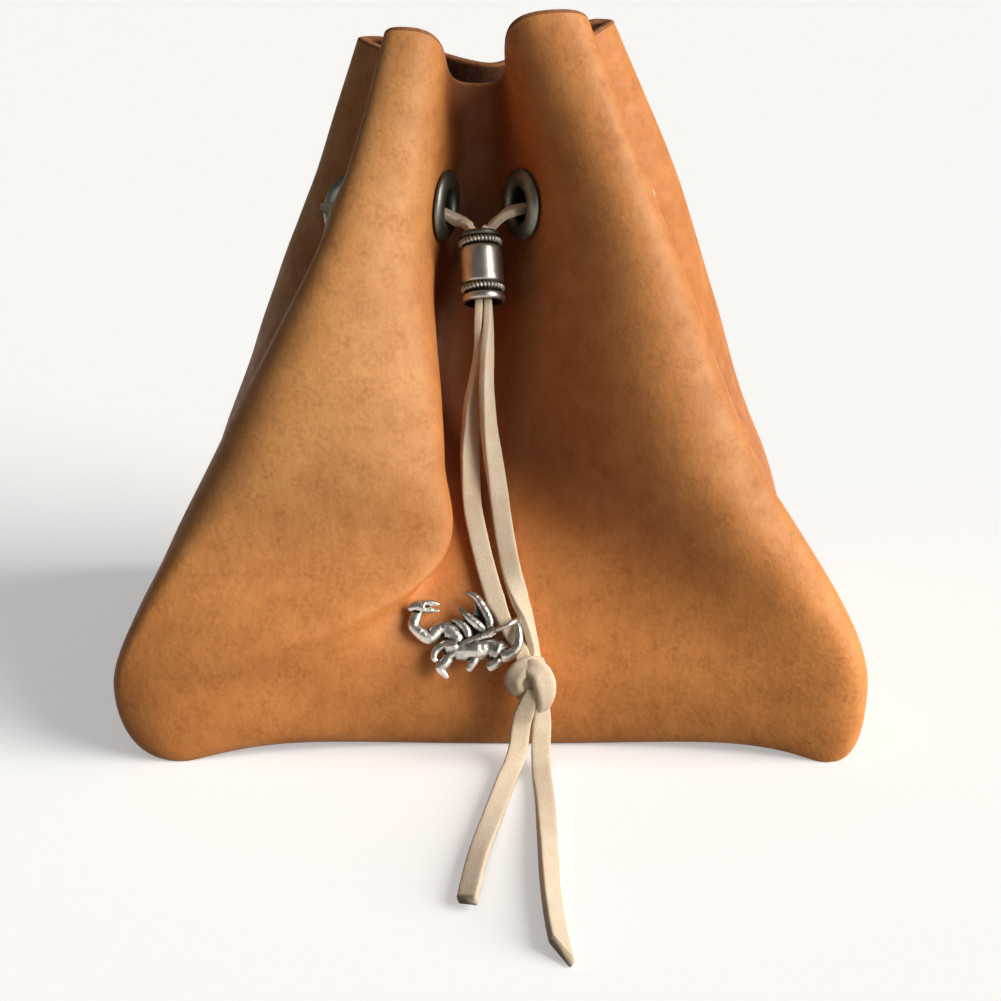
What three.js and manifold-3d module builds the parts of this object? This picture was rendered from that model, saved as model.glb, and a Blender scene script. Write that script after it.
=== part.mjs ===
// Leather drawstring pouch: a folded leather bag with eyelets, a thong, a bead, a dragon charm and a knot.
// Millimetres, +Z up. The origin is on the floor, under the middle of the pouch; the front looks to -Y.
import * as THREE from "three";
import { mergeVertices } from "three/addons/utils/BufferGeometryUtils.js";
import Module from "manifold-3d";

const wasm = await Module();
wasm.setup();

// Driving dimensions
const WALL = 1.8; // thickness of the leather
const GAP = 0.3; // clearance between two pieces
const BELLY_Z = 12; // height where the bag is widest
const HIP_Z = 31; // height where the left front roll starts to overhang the valley
const WAIST_Z = 48; // height where the front valley is half way in
const SHOULDER_Z = 85; // height of the row of eyelets
const THONG_WIDTH = 3.1;
const THONG_THICKNESS = 1.3;
const THONG_CORNER = 0.3; // cut off each corner of the thong's section
const THONG_SQUEEZE = 1.25; // how much thicker the thong would be if squeezed to nothing

// Folds of the leather, one row each, counter-clockwise from the front valley.
// A station is [x, y, facing in degrees, handle towards the fold before, handle towards the fold after].
// Beside a ridge, the share `hold` of each flank stays at the ridge's height. Only one fold has a hip.
const FOLDS = [
  { name: "valley_front", rimZ: 104, sole: [3, -42, 270, 44, 46], belly: [4, -45, 270, 36, 38],
    waist: [-6, -22, 270, 17.5, 13.5], shoulder: [-1.5, -8, 270, 10, 8], rim: [-2, -7.5, 270, 9.5, 10.5] },
  { name: "ridge_front_right", rimZ: 117.5, hold: 0,
    sole: [56, -49.4, 308, 5, 6], belly: [60.2, -50, 312, 6, 5],
    waist: [41.5, -40.4, 305, 19.5, 5],
    shoulder: [22.8, -30.9, 275.5, 12.7, 15], rim: [11.2, -21.3, 283, 17.4, 12] },
  { name: "valley_right", rimZ: 106, sole: [52, 0, 360, 30, 30], belly: [55, 0, 360, 28, 28],
    waist: [38, 0, 360, 14, 14], shoulder: [14, -1, 360, 6, 7], rim: [8, -1, 360, 5, 5] },
  { name: "ridge_back_right", rimZ: 112.5, hold: 0.12,
    sole: [49.5, 43.5, 45, 5, 5], belly: [54, 48, 45, 6, 6],
    waist: [43, 35, 45, 10, 10], shoulder: [32.4, 23, 40, 9, 9], rim: [20.7, 17, 45, 6, 6] },
  { name: "valley_back", rimZ: 106, sole: [0, 41, 90, 34, 34], belly: [0, 45, 90, 30, 30],
    waist: [0, 27, 90, 10, 10], shoulder: [0, 9, 90, 6, 6], rim: [0, 7, 90, 5, 5] },
  { name: "ridge_back_left", rimZ: 109.5, hold: 0.12,
    sole: [-49.5, 43.5, 135, 5, 5], belly: [-54, 48, 135, 6, 6],
    waist: [-43.4, 35, 135, 10, 10], shoulder: [-30.7, 23, 140, 9, 9], rim: [-22.5, 17, 135, 6, 6] },
  { name: "valley_left", rimZ: 105, sole: [-52, 0, 180, 30, 30], belly: [-55, 0, 180, 28, 28],
    waist: [-38, 0, 180, 14, 14], shoulder: [-14, -1, 180, 7, 6], rim: [-9, -1, 180, 5, 5] },
  { name: "ridge_front_left", rimZ: 114.7, hold: 0,
    sole: [-51.8, -49, 235, 6, 5], belly: [-59.3, -49.5, 246, 6, 13],
    hip: [-49, -43.5, 271, 9.5, 72], waist: [-34.3, -41.7, 273, 20, 51.3],
    shoulder: [-18.7, -28.4, 284, 18, 16], rim: [-14.6, -20.4, 265, 8.3, 12.8] },
];

// Rows of the leather mesh: level -1 is the sole, 0 the belly, 1 the rim. They are closest at the eyelets.
const LEVEL_RUNS = [
  { from: -1, to: 0, steps: 3 },
  { from: 0, to: 0.62, steps: 6 },
  { from: 0.62, to: 0.86, steps: 6 },
  { from: 0.86, to: 1, steps: 2 },
];
const COLUMNS_PER_FLANK = 8;

// Eyelets, one in each flank: the place along the flank, from its first fold to the next, and the level.
const EYELETS = [
  { name: "eyelet_front_right", flank: 0, along: 0.395, level: 0.758 },
  { name: "eyelet_right_front", flank: 1, along: 0.55, level: 0.74 },
  { name: "eyelet_right_back", flank: 2, along: 0.38, level: 0.75 },
  { name: "eyelet_back_right", flank: 3, along: 0.6, level: 0.75 },
  { name: "eyelet_back_left", flank: 4, along: 0.4, level: 0.75 },
  { name: "eyelet_left_back", flank: 5, along: 0.58, level: 0.715 },
  { name: "eyelet_left_front", flank: 6, along: 0.45, level: 0.74 },
  { name: "eyelet_front_left", flank: 7, along: 0.6, level: 0.76 },
];
const EYELET = {
  flange: 6, bore: 2.8, barrel: 3.4, back: 5.2, backing: 0.8, hole: 3.8, sides: 12,
  dome: [[5.7, 1.1], [4.6, 1.6], [3.4, 1.4], [2.8, 0.7]], // rows of [radius, height above the leather]
};
const PRESS = { flatRadius: 7.4, blendRadius: 11, foldShare: 0.16 }; // how far an eyelet flattens its flank

// Bead on the two strands: its upper end leans to the back and tips to the left, in degrees.
const BEAD = {
  at: [-1.4, -20.4, 75.4], lean: 27, tip: 3,
  radius: 3.65, bore: 2.5, length: 11.9, sides: 14, bevel: 0.5,
  end: [[0.2, 0], [0, 0.5], [0.5, 1.1], [0.1, 1.7], [0.5, 2.3]], // rows of [in from side, in from end]
};

// Thong round the neck: how far it reaches beyond each face of the leather at an eyelet, how far it hangs below
// the eyelet's middle, and how far it stands out of the bead.
const NECK = { steps: 56, outside: 3, inside: 2.5, drop: 0.6, frontDrop: 0.9, overBead: 1.6 };
const STRAND_STEP = 0.75; // from the bead's axis to each strand
const BEAD_TURN = -90; // in the bead the strands lie side by side, edge on to the front

// Routes below the bead, rows of [x, y, z, turn of the broad face in degrees, share of the full width].
// A strand starts in the bead, on its left (side -1) or on its right (side 1).
const THONG_ROUTES = [
  { name: "strand_left", steps: 18, side: -1, rows: [
    [-1.75, -24.5, 66.6, -80], [-1.6, -25.1, 62.4, -66], [-2.3, -25.2, 57.6, -56], [-3, -25.3, 53.6, -46],
    [-3.2, -25.7, 50, -38], [-3.4, -26.9, 45.9, -25], [-3.2, -29.2, 41.1, -10], [-2.9, -31.6, 37.6],
    [-1.9, -34.9, 33.4], [-0.5, -38.7, 28.7], [0.9, -41.8, 25], [1.8, -43.7, 23.4, 0, 0.8],
    [2.6, -44.9, 21.9, 0, 0.7], [3.4, -44.5, 20.2, 0, 0.75], [4.3, -44.9, 18.8, 0, 0.75],
    [5, -45.8, 17.7, 0, 0.75],
  ] },
  { name: "strand_right", steps: 18, side: 1, rows: [
    [-0.3, -24.9, 66.7, -80], [-0.5, -26.4, 62.3, -66], [-0.6, -27, 57.1, -62], [-0.4, -27.3, 52.9, -55],
    [-0.2, -27.6, 50, -48], [0.35, -28.6, 46.2, -35], [1.1, -30.5, 41.7, -20], [1.6, -32.2, 38.6, -8],
    [2.5, -35.3, 33.4], [3.6, -38.9, 28.7], [4.9, -41.8, 24.8, -40], [5.9, -43.6, 22.4, -65],
    [6.6, -44.6, 20, -70, 0.85], [7.1, -45.4, 17.6, -70, 0.75],
  ] },
  { name: "tail_left", steps: 13, rows: [
    [4.9, -48.3, 9, 0, 0.85], [4.9, -49.1, 6.4], [4.6, -51.2, 3.4], [3.8, -54.4, 1.6], [2.8, -58.5, 1],
    [1.6, -66, 1], [0.4, -74, 1.1, 8], [-1.6, -88, 1.4, 24], [-3, -102.4, 1.5, 32],
  ] },
  { name: "tail_right", steps: 15, rows: [
    [8.1, -48.3, 9, 0, 0.85], [8.2, -49.1, 6.4], [8.2, -51.2, 3.4], [8.2, -54.4, 1.6], [8.3, -58.5, 1],
    [8.6, -66.6, 1, -8], [8.7, -84.5, 1.4, -28], [8.8, -97.7, 1.5, -34], [9.5, -110, 1.5, -34],
    [10.5, -118.6, 1.5, -34],
  ] },
];

const KNOT = {
  at: [6.4, -48.3, 13.3], core: [3.9, 2.7, 3.5], coreSides: [12, 8],
  wrapRadius: 3, wrapThickness: 1.3, wrapSides: [6, 14], wrapWidth: 1.25, flatten: 0.65, slant: -32,
};

// Charm: points [x, y, z, radius] in its own axes, x to the right, y up the leather's slope, z outwards.
const DRAGON = {
  at: [-4.1, -44.8, 20], lean: 24, limbSides: 5,
  limbs: [
    { name: "neck", steps: 11, points: [
      [-7.7, 3.4, 0.9, 0.7], [-8.2, 1.6, 0.9, 0.75], [-7.2, 0.4, 0.8, 0.8], [-5.7, -0.4, 0.5, 0.9],
      [-4.3, 0.9, 0.2, 0.9], [-3.1, 1.1, 0, 0.95], [-1.5, -0.5, 0, 1.1], [-1, -1.8, 0, 1.2]] },
    { name: "chest", steps: 3, points: [[-2, -0.4, 0, 0.8], [-1.9, -2, 0.1, 1.45], [-2.1, -3.4, 0.2, 0.9]] },
    { name: "body", steps: 6, points: [
      [-1.7, -2.3, 0, 1.3], [0.2, -2.3, 0, 1.35], [2.1, -2.3, 0, 1.5], [3.9, -2.1, 0, 1.2],
      [5.5, -2.6, 0, 1.4], [6.8, -3.1, 0.3, 0.9]] },
    { name: "tail", steps: 6, points: [
      [6.3, -3.3, 0.6, 0.9], [7.5, -3.1, 1.1, 0.75], [8.6, -1.9, 1.6, 0.55], [8.8, -0.3, 1.6, 0.5],
      [8.6, 1.2, 1.4, 0.5], [8.3, 2.2, 1, 0.45]] },
    { name: "upper_jaw", steps: 3, points: [
      [-6.6, 4.4, 0.8, 0.85], [-7.7, 4.6, 0.9, 0.75], [-9.1, 4.3, 1, 0.45]] },
    { name: "lower_jaw", steps: 2, points: [[-7.2, 3.7, 0.8, 0.6], [-8.4, 3.3, 0.9, 0.35]] },
    { name: "horn", steps: 2, points: [
      [-6.8, 5, 1, 0.5], [-5.4, 5.2, 0.9, 0.4], [-4.1, 4.9, 0.8, 0.2]] },
    { name: "ear", steps: 2, points: [[-6.5, 4.1, 0.9, 0.5], [-4.1, 3.9, 0.8, 0.2]] },
    { name: "wing_arm", steps: 6, points: [
      [-3.1, -4.2, 0.8, 0.45], [-1.4, -2.5, 1.1, 0.5], [-0.1, -1.6, 1, 0.55], [2, -0.7, 0.7, 0.6],
      [3.6, 0.1, 0.5, 0.6], [5, 0.8, 0.9, 0.5]] },
    { name: "wing_finger_upper", steps: 4, points: [
      [3.6, 0.1, 0.3, 0.6], [4.1, 1.9, 0.3, 0.6], [3.2, 4.1, 0.2, 0.55], [1.7, 6.2, 0.2, 0.45],
      [0.2, 7, 0.2, 0.2]] },
    { name: "wing_finger_middle", steps: 4, points: [
      [3.6, 0.3, 0.3, 0.6], [2.1, 1.7, 0.3, 0.6], [0.3, 3.2, 0.2, 0.5], [-0.9, 4.6, 0.2, 0.2]] },
    { name: "wing_finger_lower", steps: 4, points: [
      [0.7, -0.9, 0.4, 0.6], [0.3, 0.8, 0.3, 0.55], [-0.8, 2, 0.2, 0.45], [-2.1, 2.5, 0.2, 0.2]] },
    { name: "raised_paw", steps: 4, points: [
      [-2.4, -1.4, 0.5, 0.7], [-3.8, -1.9, 0.6, 0.5], [-4.7, -2.7, 0.6, 0.5], [-4.9, -3.8, 0.6, 0.4],
      [-4.5, -4.2, 0.6, 0.3]] },
    { name: "fore_leg", steps: 4, points: [
      [-2, -2.6, 0.5, 1], [-3, -4.3, 0.6, 0.7], [-3.9, -5.3, 0.5, 0.7], [-2.7, -6.9, 0.4, 0.25]] },
    { name: "middle_leg", steps: 3, points: [
      [2.1, -2.4, 0.5, 1], [1.6, -4, 0.6, 0.65], [0.6, -5.7, 0.5, 0.4]] },
    { name: "hind_leg", steps: 3, points: [
      [6, -3.2, 0.5, 1], [5.1, -4.4, 0.6, 0.7], [3.8, -5.3, 0.5, 0.55]] },
  ],
  membrane: { thickness: 0.6, outline: [
    [3.6, -0.1], [4.1, 1.9], [3.2, 4.1], [1.2, 6.4], [1.6, 4.4], [1.1, 3], [-0.6, 4.2], [0.1, 2.6],
    [-0.7, 2], [0.3, 0.8], [0.6, -1]] },
  ring: { at: [6.7, 1.6, 1], axis: [0.44, -0.89, -0.12], radius: 1.95, wire: 0.45, sides: [6, 14] },
};

// Materials
function material(color, roughness, metalness) {
  return new THREE.MeshStandardMaterial({ color, roughness, metalness });
}
const LEATHER = material(0xc5803f, 0.6, 0);
const THONG = material(0xe2c8aa, 0.85, 0);
const SILVER = material(0xb8b0a0, 0.35, 1);
const GUNMETAL = material(0x6c675a, 0.4, 1);

// Small helpers
const clamp = (value, low, high) => Math.min(high, Math.max(low, value));
const smoothStep = (value) => {
  const t = clamp(value, 0, 1);
  return t * t * (3 - 2 * t);
};
const mix = (a, b, t) => a + (b - a) * t;
const radians = THREE.MathUtils.degToRad;

// Smooth curve through the rows given at the heights, level at its first row, read at height z.
function through(heights, rows, z) {
  const last = heights.length - 1;
  const slope = (i, k) => {
    if (i === 0) return 0;
    const next = Math.min(i + 1, last);
    return (rows[next][k] - rows[i - 1][k]) / (heights[next] - heights[i - 1]);
  };
  let i = 0;
  while (i < last - 1 && z > heights[i + 1]) i += 1;
  const step = heights[i + 1] - heights[i];
  const t = (z - heights[i]) / step;
  const t2 = t * t;
  const t3 = t2 * t;
  return rows[i].map((value, k) =>
    (2 * t3 - 3 * t2 + 1) * value + (3 * t2 - 2 * t3) * rows[i + 1][k] +
    (t3 - 2 * t2 + t) * step * slope(i, k) + (t3 - t2) * step * slope(i + 1, k));
}

// A fold's plan point, tangent and handles at one level of the wall.
function foldAt(fold, level) {
  let z;
  let station;
  if (level <= 0) {
    const turn = (level + 1) * Math.PI / 2;
    z = BELLY_Z * (1 - Math.cos(turn));
    station = fold.sole.map((value, k) => mix(value, fold.belly[k], Math.sin(turn)));
  } else {
    z = mix(BELLY_Z, fold.rimZ, level);
    const stations = [[BELLY_Z, fold.belly], [HIP_Z, fold.hip], [WAIST_Z, fold.waist],
      [SHOULDER_Z, fold.shoulder], [fold.rimZ, fold.rim]].filter(([, row]) => row);
    station = through(stations.map(([height]) => height), stations.map(([, row]) => row), z);
  }
  const [x, y, facing, before, after] = station;
  const tangent = new THREE.Vector2(-Math.sin(radians(facing)), Math.cos(radians(facing)));
  return { point: new THREE.Vector2(x, y), z, tangent, before, after };
}

// Point of the outer surface as the folds alone give it: along counts flanks, from 0 to 8 round the bag.
function foldedPoint(along, level) {
  const turn = (along + FOLDS.length) % FOLDS.length;
  const flank = Math.floor(turn);
  const t = turn - flank;
  const a = foldAt(FOLDS[flank], level);
  const b = foldAt(FOLDS[(flank + 1) % FOLDS.length], level);
  const leave = a.point.clone().addScaledVector(a.tangent, a.after);
  const arrive = b.point.clone().addScaledVector(b.tangent, -b.before);
  const plan = new THREE.CubicBezierCurve(a.point, leave, arrive, b.point).getPoint(t);
  const fromRidge = flank % 2 === 1;
  const { hold } = FOLDS[fromRidge ? flank : (flank + 1) % FOLDS.length];
  const fall = (fromRidge ? t - hold : t) / (1 - hold);
  return new THREE.Vector3(plan.x, plan.y, mix(a.z, b.z, smoothStep(fall)));
}

// Outward normal of a surface given as a function of along and level.
const SMALL_STEP = 0.004;
function normalOf(surface, along, level) {
  const low = Math.max(level - SMALL_STEP, -1);
  const high = Math.min(level + SMALL_STEP, 1);
  const round = surface(along + SMALL_STEP, level).sub(surface(along - SMALL_STEP, level));
  const up = surface(along, high).sub(surface(along, low));
  return round.cross(up).normalize();
}

const seats = EYELETS.map(({ name, flank, along, level }) => ({
  name,
  centre: foldedPoint(flank + along, level),
  normal: normalOf(foldedPoint, flank + along, level),
}));

// Outer surface: the folded leather, pressed flat where the flank's eyelet clamps it.
function outerPoint(along, level) {
  const point = foldedPoint(along, level);
  const turn = (along + FOLDS.length) % FOLDS.length;
  const flank = Math.floor(turn);
  const fromFold = Math.min(turn - flank, flank + 1 - turn);
  const { centre, normal } = seats[flank];
  const offset = point.clone().sub(centre);
  const height = offset.dot(normal);
  const radius = offset.addScaledVector(normal, -height).length();
  const { flatRadius, blendRadius, foldShare } = PRESS;
  const nearEyelet = smoothStep((blendRadius - radius) / (blendRadius - flatRadius));
  const clearOfFold = smoothStep(fromFold / foldShare);
  return point.addScaledVector(normal, -height * nearEyelet * clearOfFold);
}

// Inner surface: one wall inside the outer one. Below the belly it is set in level, down to the inner floor.
function innerPoint(along, level) {
  const point = outerPoint(along, level);
  if (level > 0) return point.addScaledVector(normalOf(outerPoint, along, level), -WALL);
  const next = outerPoint(along + SMALL_STEP, level);
  const round = next.sub(outerPoint(along - SMALL_STEP, level)).normalize();
  const height = mix(WALL, BELLY_Z, point.z / BELLY_Z);
  return new THREE.Vector3(point.x - WALL * round.y, point.y + WALL * round.x, height);
}

// Geometry from vertices and triangles.
function meshGeometry(vertices, triangles) {
  const geometry = new THREE.BufferGeometry();
  const numbers = vertices.flatMap((vertex) => vertex.toArray());
  geometry.setAttribute("position", new THREE.Float32BufferAttribute(numbers, 3));
  geometry.setIndex(triangles.flat());
  return geometry;
}

// Solids for cutting and joining
const MERGE_DISTANCE = 1e-3;
function toSolid(geometry) {
  const bare = geometry.clone();
  bare.deleteAttribute("normal");
  bare.deleteAttribute("uv");
  const merged = mergeVertices(bare, MERGE_DISTANCE);
  return new wasm.Manifold(new wasm.Mesh({
    numProp: 3,
    vertProperties: new Float32Array(merged.attributes.position.array),
    triVerts: new Uint32Array(merged.index.array),
  }));
}

function toGeometry(solid) {
  const mesh = solid.getMesh();
  const geometry = new THREE.BufferGeometry();
  geometry.setAttribute("position", new THREE.Float32BufferAttribute(mesh.vertProperties, 3));
  geometry.setIndex([...mesh.triVerts]);
  geometry.computeVertexNormals();
  return geometry;
}

// Matrix that puts a piece's own +Z along a direction at a point.
function standing(point, direction) {
  const turn = new THREE.Quaternion().setFromUnitVectors(new THREE.Vector3(0, 0, 1), direction);
  return new THREE.Matrix4().compose(point, turn, new THREE.Vector3(1, 1, 1));
}

const pouch = new THREE.Group();
function addPiece(name, geometry, finish) {
  const mesh = new THREE.Mesh(geometry, finish);
  mesh.name = name;
  pouch.add(mesh);
  return mesh;
}

// Leather bag: outer and inner skins over one grid, a flat sole, and the rim between the skins.
function bagGeometry() {
  const levels = [-1];
  for (const { from, to, steps } of LEVEL_RUNS) {
    for (let i = 1; i <= steps; i += 1) levels.push(mix(from, to, i / steps));
  }
  const columns = FOLDS.length * COLUMNS_PER_FLANK;
  const vertices = [];
  const triangles = [];
  for (const surface of [outerPoint, innerPoint]) {
    for (const level of levels) {
      for (let j = 0; j < columns; j += 1) vertices.push(surface(j / COLUMNS_PER_FLANK, level));
    }
  }
  const soleMiddle = vertices.push(new THREE.Vector3(0, 0, 0)) - 1;
  const floorMiddle = vertices.push(new THREE.Vector3(0, 0, WALL)) - 1;
  const at = (skin, row, column) => (skin * levels.length + row) * columns + column % columns;
  const quad = (a, b, c, d) => triangles.push([a, b, c], [a, c, d]);
  const top = levels.length - 1;
  for (let j = 0; j < columns; j += 1) {
    for (let row = 0; row < top; row += 1) {
      quad(at(0, row, j), at(0, row, j + 1), at(0, row + 1, j + 1), at(0, row + 1, j));
      quad(at(1, row, j + 1), at(1, row, j), at(1, row + 1, j), at(1, row + 1, j + 1));
    }
    quad(at(0, top, j), at(0, top, j + 1), at(1, top, j + 1), at(1, top, j));
    triangles.push([at(0, 0, j + 1), at(0, 0, j), soleMiddle]);
    triangles.push([at(1, 0, j), at(1, 0, j + 1), floorMiddle]);
  }
  return meshGeometry(vertices, triangles);
}

function pouchBody() {
  const { hole, sides } = EYELET;
  const drillLength = 4 * WALL;
  let solid = toSolid(bagGeometry());
  const drill = new THREE.CylinderGeometry(hole, hole, drillLength, sides).rotateX(Math.PI / 2);
  for (const { centre, normal } of seats) {
    solid = solid.subtract(toSolid(drill.clone().applyMatrix4(standing(centre, normal))));
  }
  addPiece("pouch_body", toGeometry(solid), LEATHER);
}

// Eyelet: domed ring outside, barrel through the leather, flat ring inside, all one pressed piece.
function eyelets() {
  const { flange, bore, barrel, back, backing, dome, sides } = EYELET;
  const inside = -WALL - GAP;
  const profile = [
    [barrel, GAP], [flange, GAP], ...dome, [bore, inside - backing], [back, inside - backing],
    [back, inside], [barrel, inside], [barrel, GAP],
  ].map(([radius, height]) => new THREE.Vector2(radius, height));
  const ring = new THREE.LatheGeometry(profile, sides).rotateX(Math.PI / 2);
  for (const { name, centre, normal } of seats) {
    addPiece(name, ring.clone().applyMatrix4(standing(centre, normal)), GUNMETAL);
  }
}

// One column of a route's rows, read at the place t from 0 to 1. A row that lacks it has the plain value.
function columnAt(rows, t, k, plain) {
  const place = t * (rows.length - 1);
  const i = Math.min(Math.floor(place), rows.length - 2);
  return mix(rows[i][k] ?? plain, rows[i + 1][k] ?? plain, place - i);
}

// Direction square to the tangent, as near as can be to the one given.
const squareTo = (tangent, face) => face.addScaledVector(tangent, -face.dot(tangent)).normalize();

// Broad face that starts towards `face`, is carried along without spin and turned by the rows' fourth column.
function carriedFace(rows, face) {
  const normal = face.clone();
  return (t, tangent) => squareTo(tangent, normal).clone()
    .applyAxisAngle(tangent, radians(columnAt(rows, t, 3, 0)));
}

// Broad face that looks the way given for each row.
function givenFace(faces) {
  const faceAt = (t) => new THREE.Vector3(...[0, 1, 2].map((k) => columnAt(faces, t, k, 0)));
  return (t, tangent) => squareTo(tangent, faceAt(t));
}

// Flat thong along a route: rows of [x, y, z, turn of the broad face in degrees, share of the full width].
function thongGeometry(rows, steps, outAt) {
  const curve = new THREE.CatmullRomCurve3(rows.map(([x, y, z]) => new THREE.Vector3(x, y, z)));
  const vertices = [];
  const triangles = [];
  let sides = 0;
  for (let i = 0; i <= steps; i += 1) {
    const t = i / steps;
    const tangent = curve.getTangent(t);
    const out = outAt(t, tangent);
    const across = new THREE.Vector3().crossVectors(out, tangent);
    const section = thongSection(columnAt(rows, t, 4, 1));
    sides = section.length;
    for (const [x, y] of section) {
      vertices.push(curve.getPoint(t).addScaledVector(across, x).addScaledVector(out, y));
    }
  }
  const at = (i, k) => i * sides + k % sides;
  for (let i = 0; i < steps; i += 1) {
    for (let k = 0; k < sides; k += 1) {
      triangles.push([at(i, k), at(i, k + 1), at(i + 1, k + 1)]);
      triangles.push([at(i, k), at(i + 1, k + 1), at(i + 1, k)]);
    }
  }
  for (let k = 1; k < sides - 1; k += 1) {
    triangles.push([at(0, 0), at(0, k + 1), at(0, k)]);
    triangles.push([at(steps, 0), at(steps, k), at(steps, k + 1)]);
  }
  return meshGeometry(vertices, triangles);
}

// Section of the thong: a flat bar with broken corners. Where it is squeezed it is narrower and thicker.
function thongSection(share) {
  const w = THONG_WIDTH * share / 2;
  const h = THONG_THICKNESS * mix(THONG_SQUEEZE, 1, share) / 2;
  const cut = THONG_CORNER;
  return [
    [w, cut - h], [w, h - cut], [w - cut, h], [cut - w, h],
    [-w, h - cut], [-w, cut - h], [cut - w, -h], [w - cut, -h],
  ];
}

const FRONT = new THREE.Vector3(0, -1, 0);
const UP = [0, 0, 1];

// Place on one of the two strands in the bead's bore, so far up from the bead's middle.
const beadTurn = new THREE.Euler(radians(-BEAD.lean), radians(-BEAD.tip), 0);
function beadPoint(up, side) {
  const point = new THREE.Vector3(side * STRAND_STEP, 0, up).applyEuler(beadTurn);
  return point.add(new THREE.Vector3(...BEAD.at)).toArray();
}

// Thong round the neck: out of the bead, through the eyelets in turn, inside each fold, across each valley.
// Its broad face lies level at the eyelets and looks sideways in the bead.
function drawstringNeck() {
  const order = ["front_left", "left_front", "left_back", "back_left",
    "back_right", "right_back", "right_front", "front_right"];
  const atFront = ["front_left", "front_right"];
  const outside = NECK.outside;
  const inside = -WALL - NECK.inside;
  const ways = [GAP / 2, BEAD.length / 2, BEAD.length / 2 + NECK.overBead];
  const rows = ways.map((up) => beadPoint(up, -1));
  order.forEach((place, i) => {
    const { centre, normal } = seats.find(({ name }) => name === `eyelet_${place}`);
    const drop = atFront.includes(place) ? NECK.frontDrop : NECK.drop;
    const reach = i % 2 === 0 ? [outside, inside] : [inside, outside];
    for (const distance of reach) {
      const point = centre.clone().addScaledVector(normal, distance);
      rows.push([point.x, point.y, point.z - drop]);
    }
  });
  rows.push(...ways.map((up) => beadPoint(up, 1)).reverse());
  const faces = rows.map((row, i) => {
    if (i < ways.length) return [1, 0, 0];
    return i < rows.length - ways.length ? UP : [-1, 0, 0];
  });
  addPiece("drawstring_neck", thongGeometry(rows, NECK.steps, givenFace(faces)), THONG);
}

// Strands from the bead to the knot, and the two free ends from the knot to the floor and along it.
function strandsAndTails() {
  for (const { name, side, rows, steps } of THONG_ROUTES) {
    const ways = side ? [-GAP / 2, -BEAD.length / 2] : [];
    const inBead = ways.map((up) => [...beadPoint(up, side), BEAD_TURN]);
    const route = [...inBead, ...rows];
    addPiece(name, thongGeometry(route, steps, carriedFace(route, FRONT)), THONG);
  }
}

// Barrel bead on the two strands, with a raised band and a plain ring at each end.
function bead() {
  const { radius, bore, length, sides, bevel, end } = BEAD;
  const half = length / 2;
  const outside = end.map(([fromSide, fromEnd]) => [radius - fromSide, half - fromEnd]);
  const upper = [[bore, half - bevel], [bore + bevel, half], ...outside];
  const lower = upper.map(([r, z]) => [r, -z]).reverse();
  const profile = [...upper, ...lower, upper[0]].map(([r, z]) => new THREE.Vector2(r, -z));
  const geometry = new THREE.LatheGeometry(profile, sides).rotateX(Math.PI / 2);
  const mesh = addPiece("bead", geometry, SILVER);
  mesh.position.set(...BEAD.at);
  mesh.rotation.copy(beadTurn);
}

// Overhand knot: a rounded core with one turn of the thong wrapped aslant over it.
function knot() {
  const core = new THREE.SphereGeometry(1, ...KNOT.coreSides).scale(...KNOT.core);
  const wrap = new THREE.TorusGeometry(KNOT.wrapRadius, KNOT.wrapThickness, ...KNOT.wrapSides);
  wrap.scale(1, 1, KNOT.wrapWidth).rotateX(Math.PI / 2);
  wrap.scale(1, KNOT.flatten, 1).rotateY(radians(KNOT.slant));
  const solid = toSolid(core).add(toSolid(wrap));
  addPiece("knot", toGeometry(solid), THONG).position.set(...KNOT.at);
}

// Round tapering limb through points [x, y, z, radius] of the charm, with pointed ends.
function limb(points, steps) {
  const sides = DRAGON.limbSides;
  const curve = new THREE.CatmullRomCurve3(points.map(([x, y, z]) => new THREE.Vector3(x, y, z)));
  const frames = curve.computeFrenetFrames(steps);
  const vertices = [];
  const triangles = [];
  for (let i = 0; i <= steps; i += 1) {
    const place = i / steps * (points.length - 1);
    const k = Math.min(Math.floor(place), points.length - 2);
    const radius = mix(points[k][3], points[k + 1][3], place - k);
    for (let j = 0; j < sides; j += 1) {
      const angle = j / sides * 2 * Math.PI;
      vertices.push(curve.getPoint(i / steps)
        .addScaledVector(frames.normals[i], radius * Math.cos(angle))
        .addScaledVector(frames.binormals[i], radius * Math.sin(angle)));
    }
  }
  const tip = (t, reach) => curve.getPoint(t).addScaledVector(curve.getTangent(t), reach);
  const first = vertices.push(tip(0, -points[0][3] / 2)) - 1;
  const last = vertices.push(tip(1, points.at(-1)[3] / 2)) - 1;
  const at = (i, j) => i * sides + j % sides;
  for (let j = 0; j < sides; j += 1) {
    for (let i = 0; i < steps; i += 1) {
      triangles.push([at(i, j), at(i, j + 1), at(i + 1, j + 1)]);
      triangles.push([at(i, j), at(i + 1, j + 1), at(i + 1, j)]);
    }
    triangles.push([at(0, j + 1), at(0, j), first]);
    triangles.push([at(steps, j), at(steps, j + 1), last]);
  }
  return meshGeometry(vertices, triangles);
}

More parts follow.
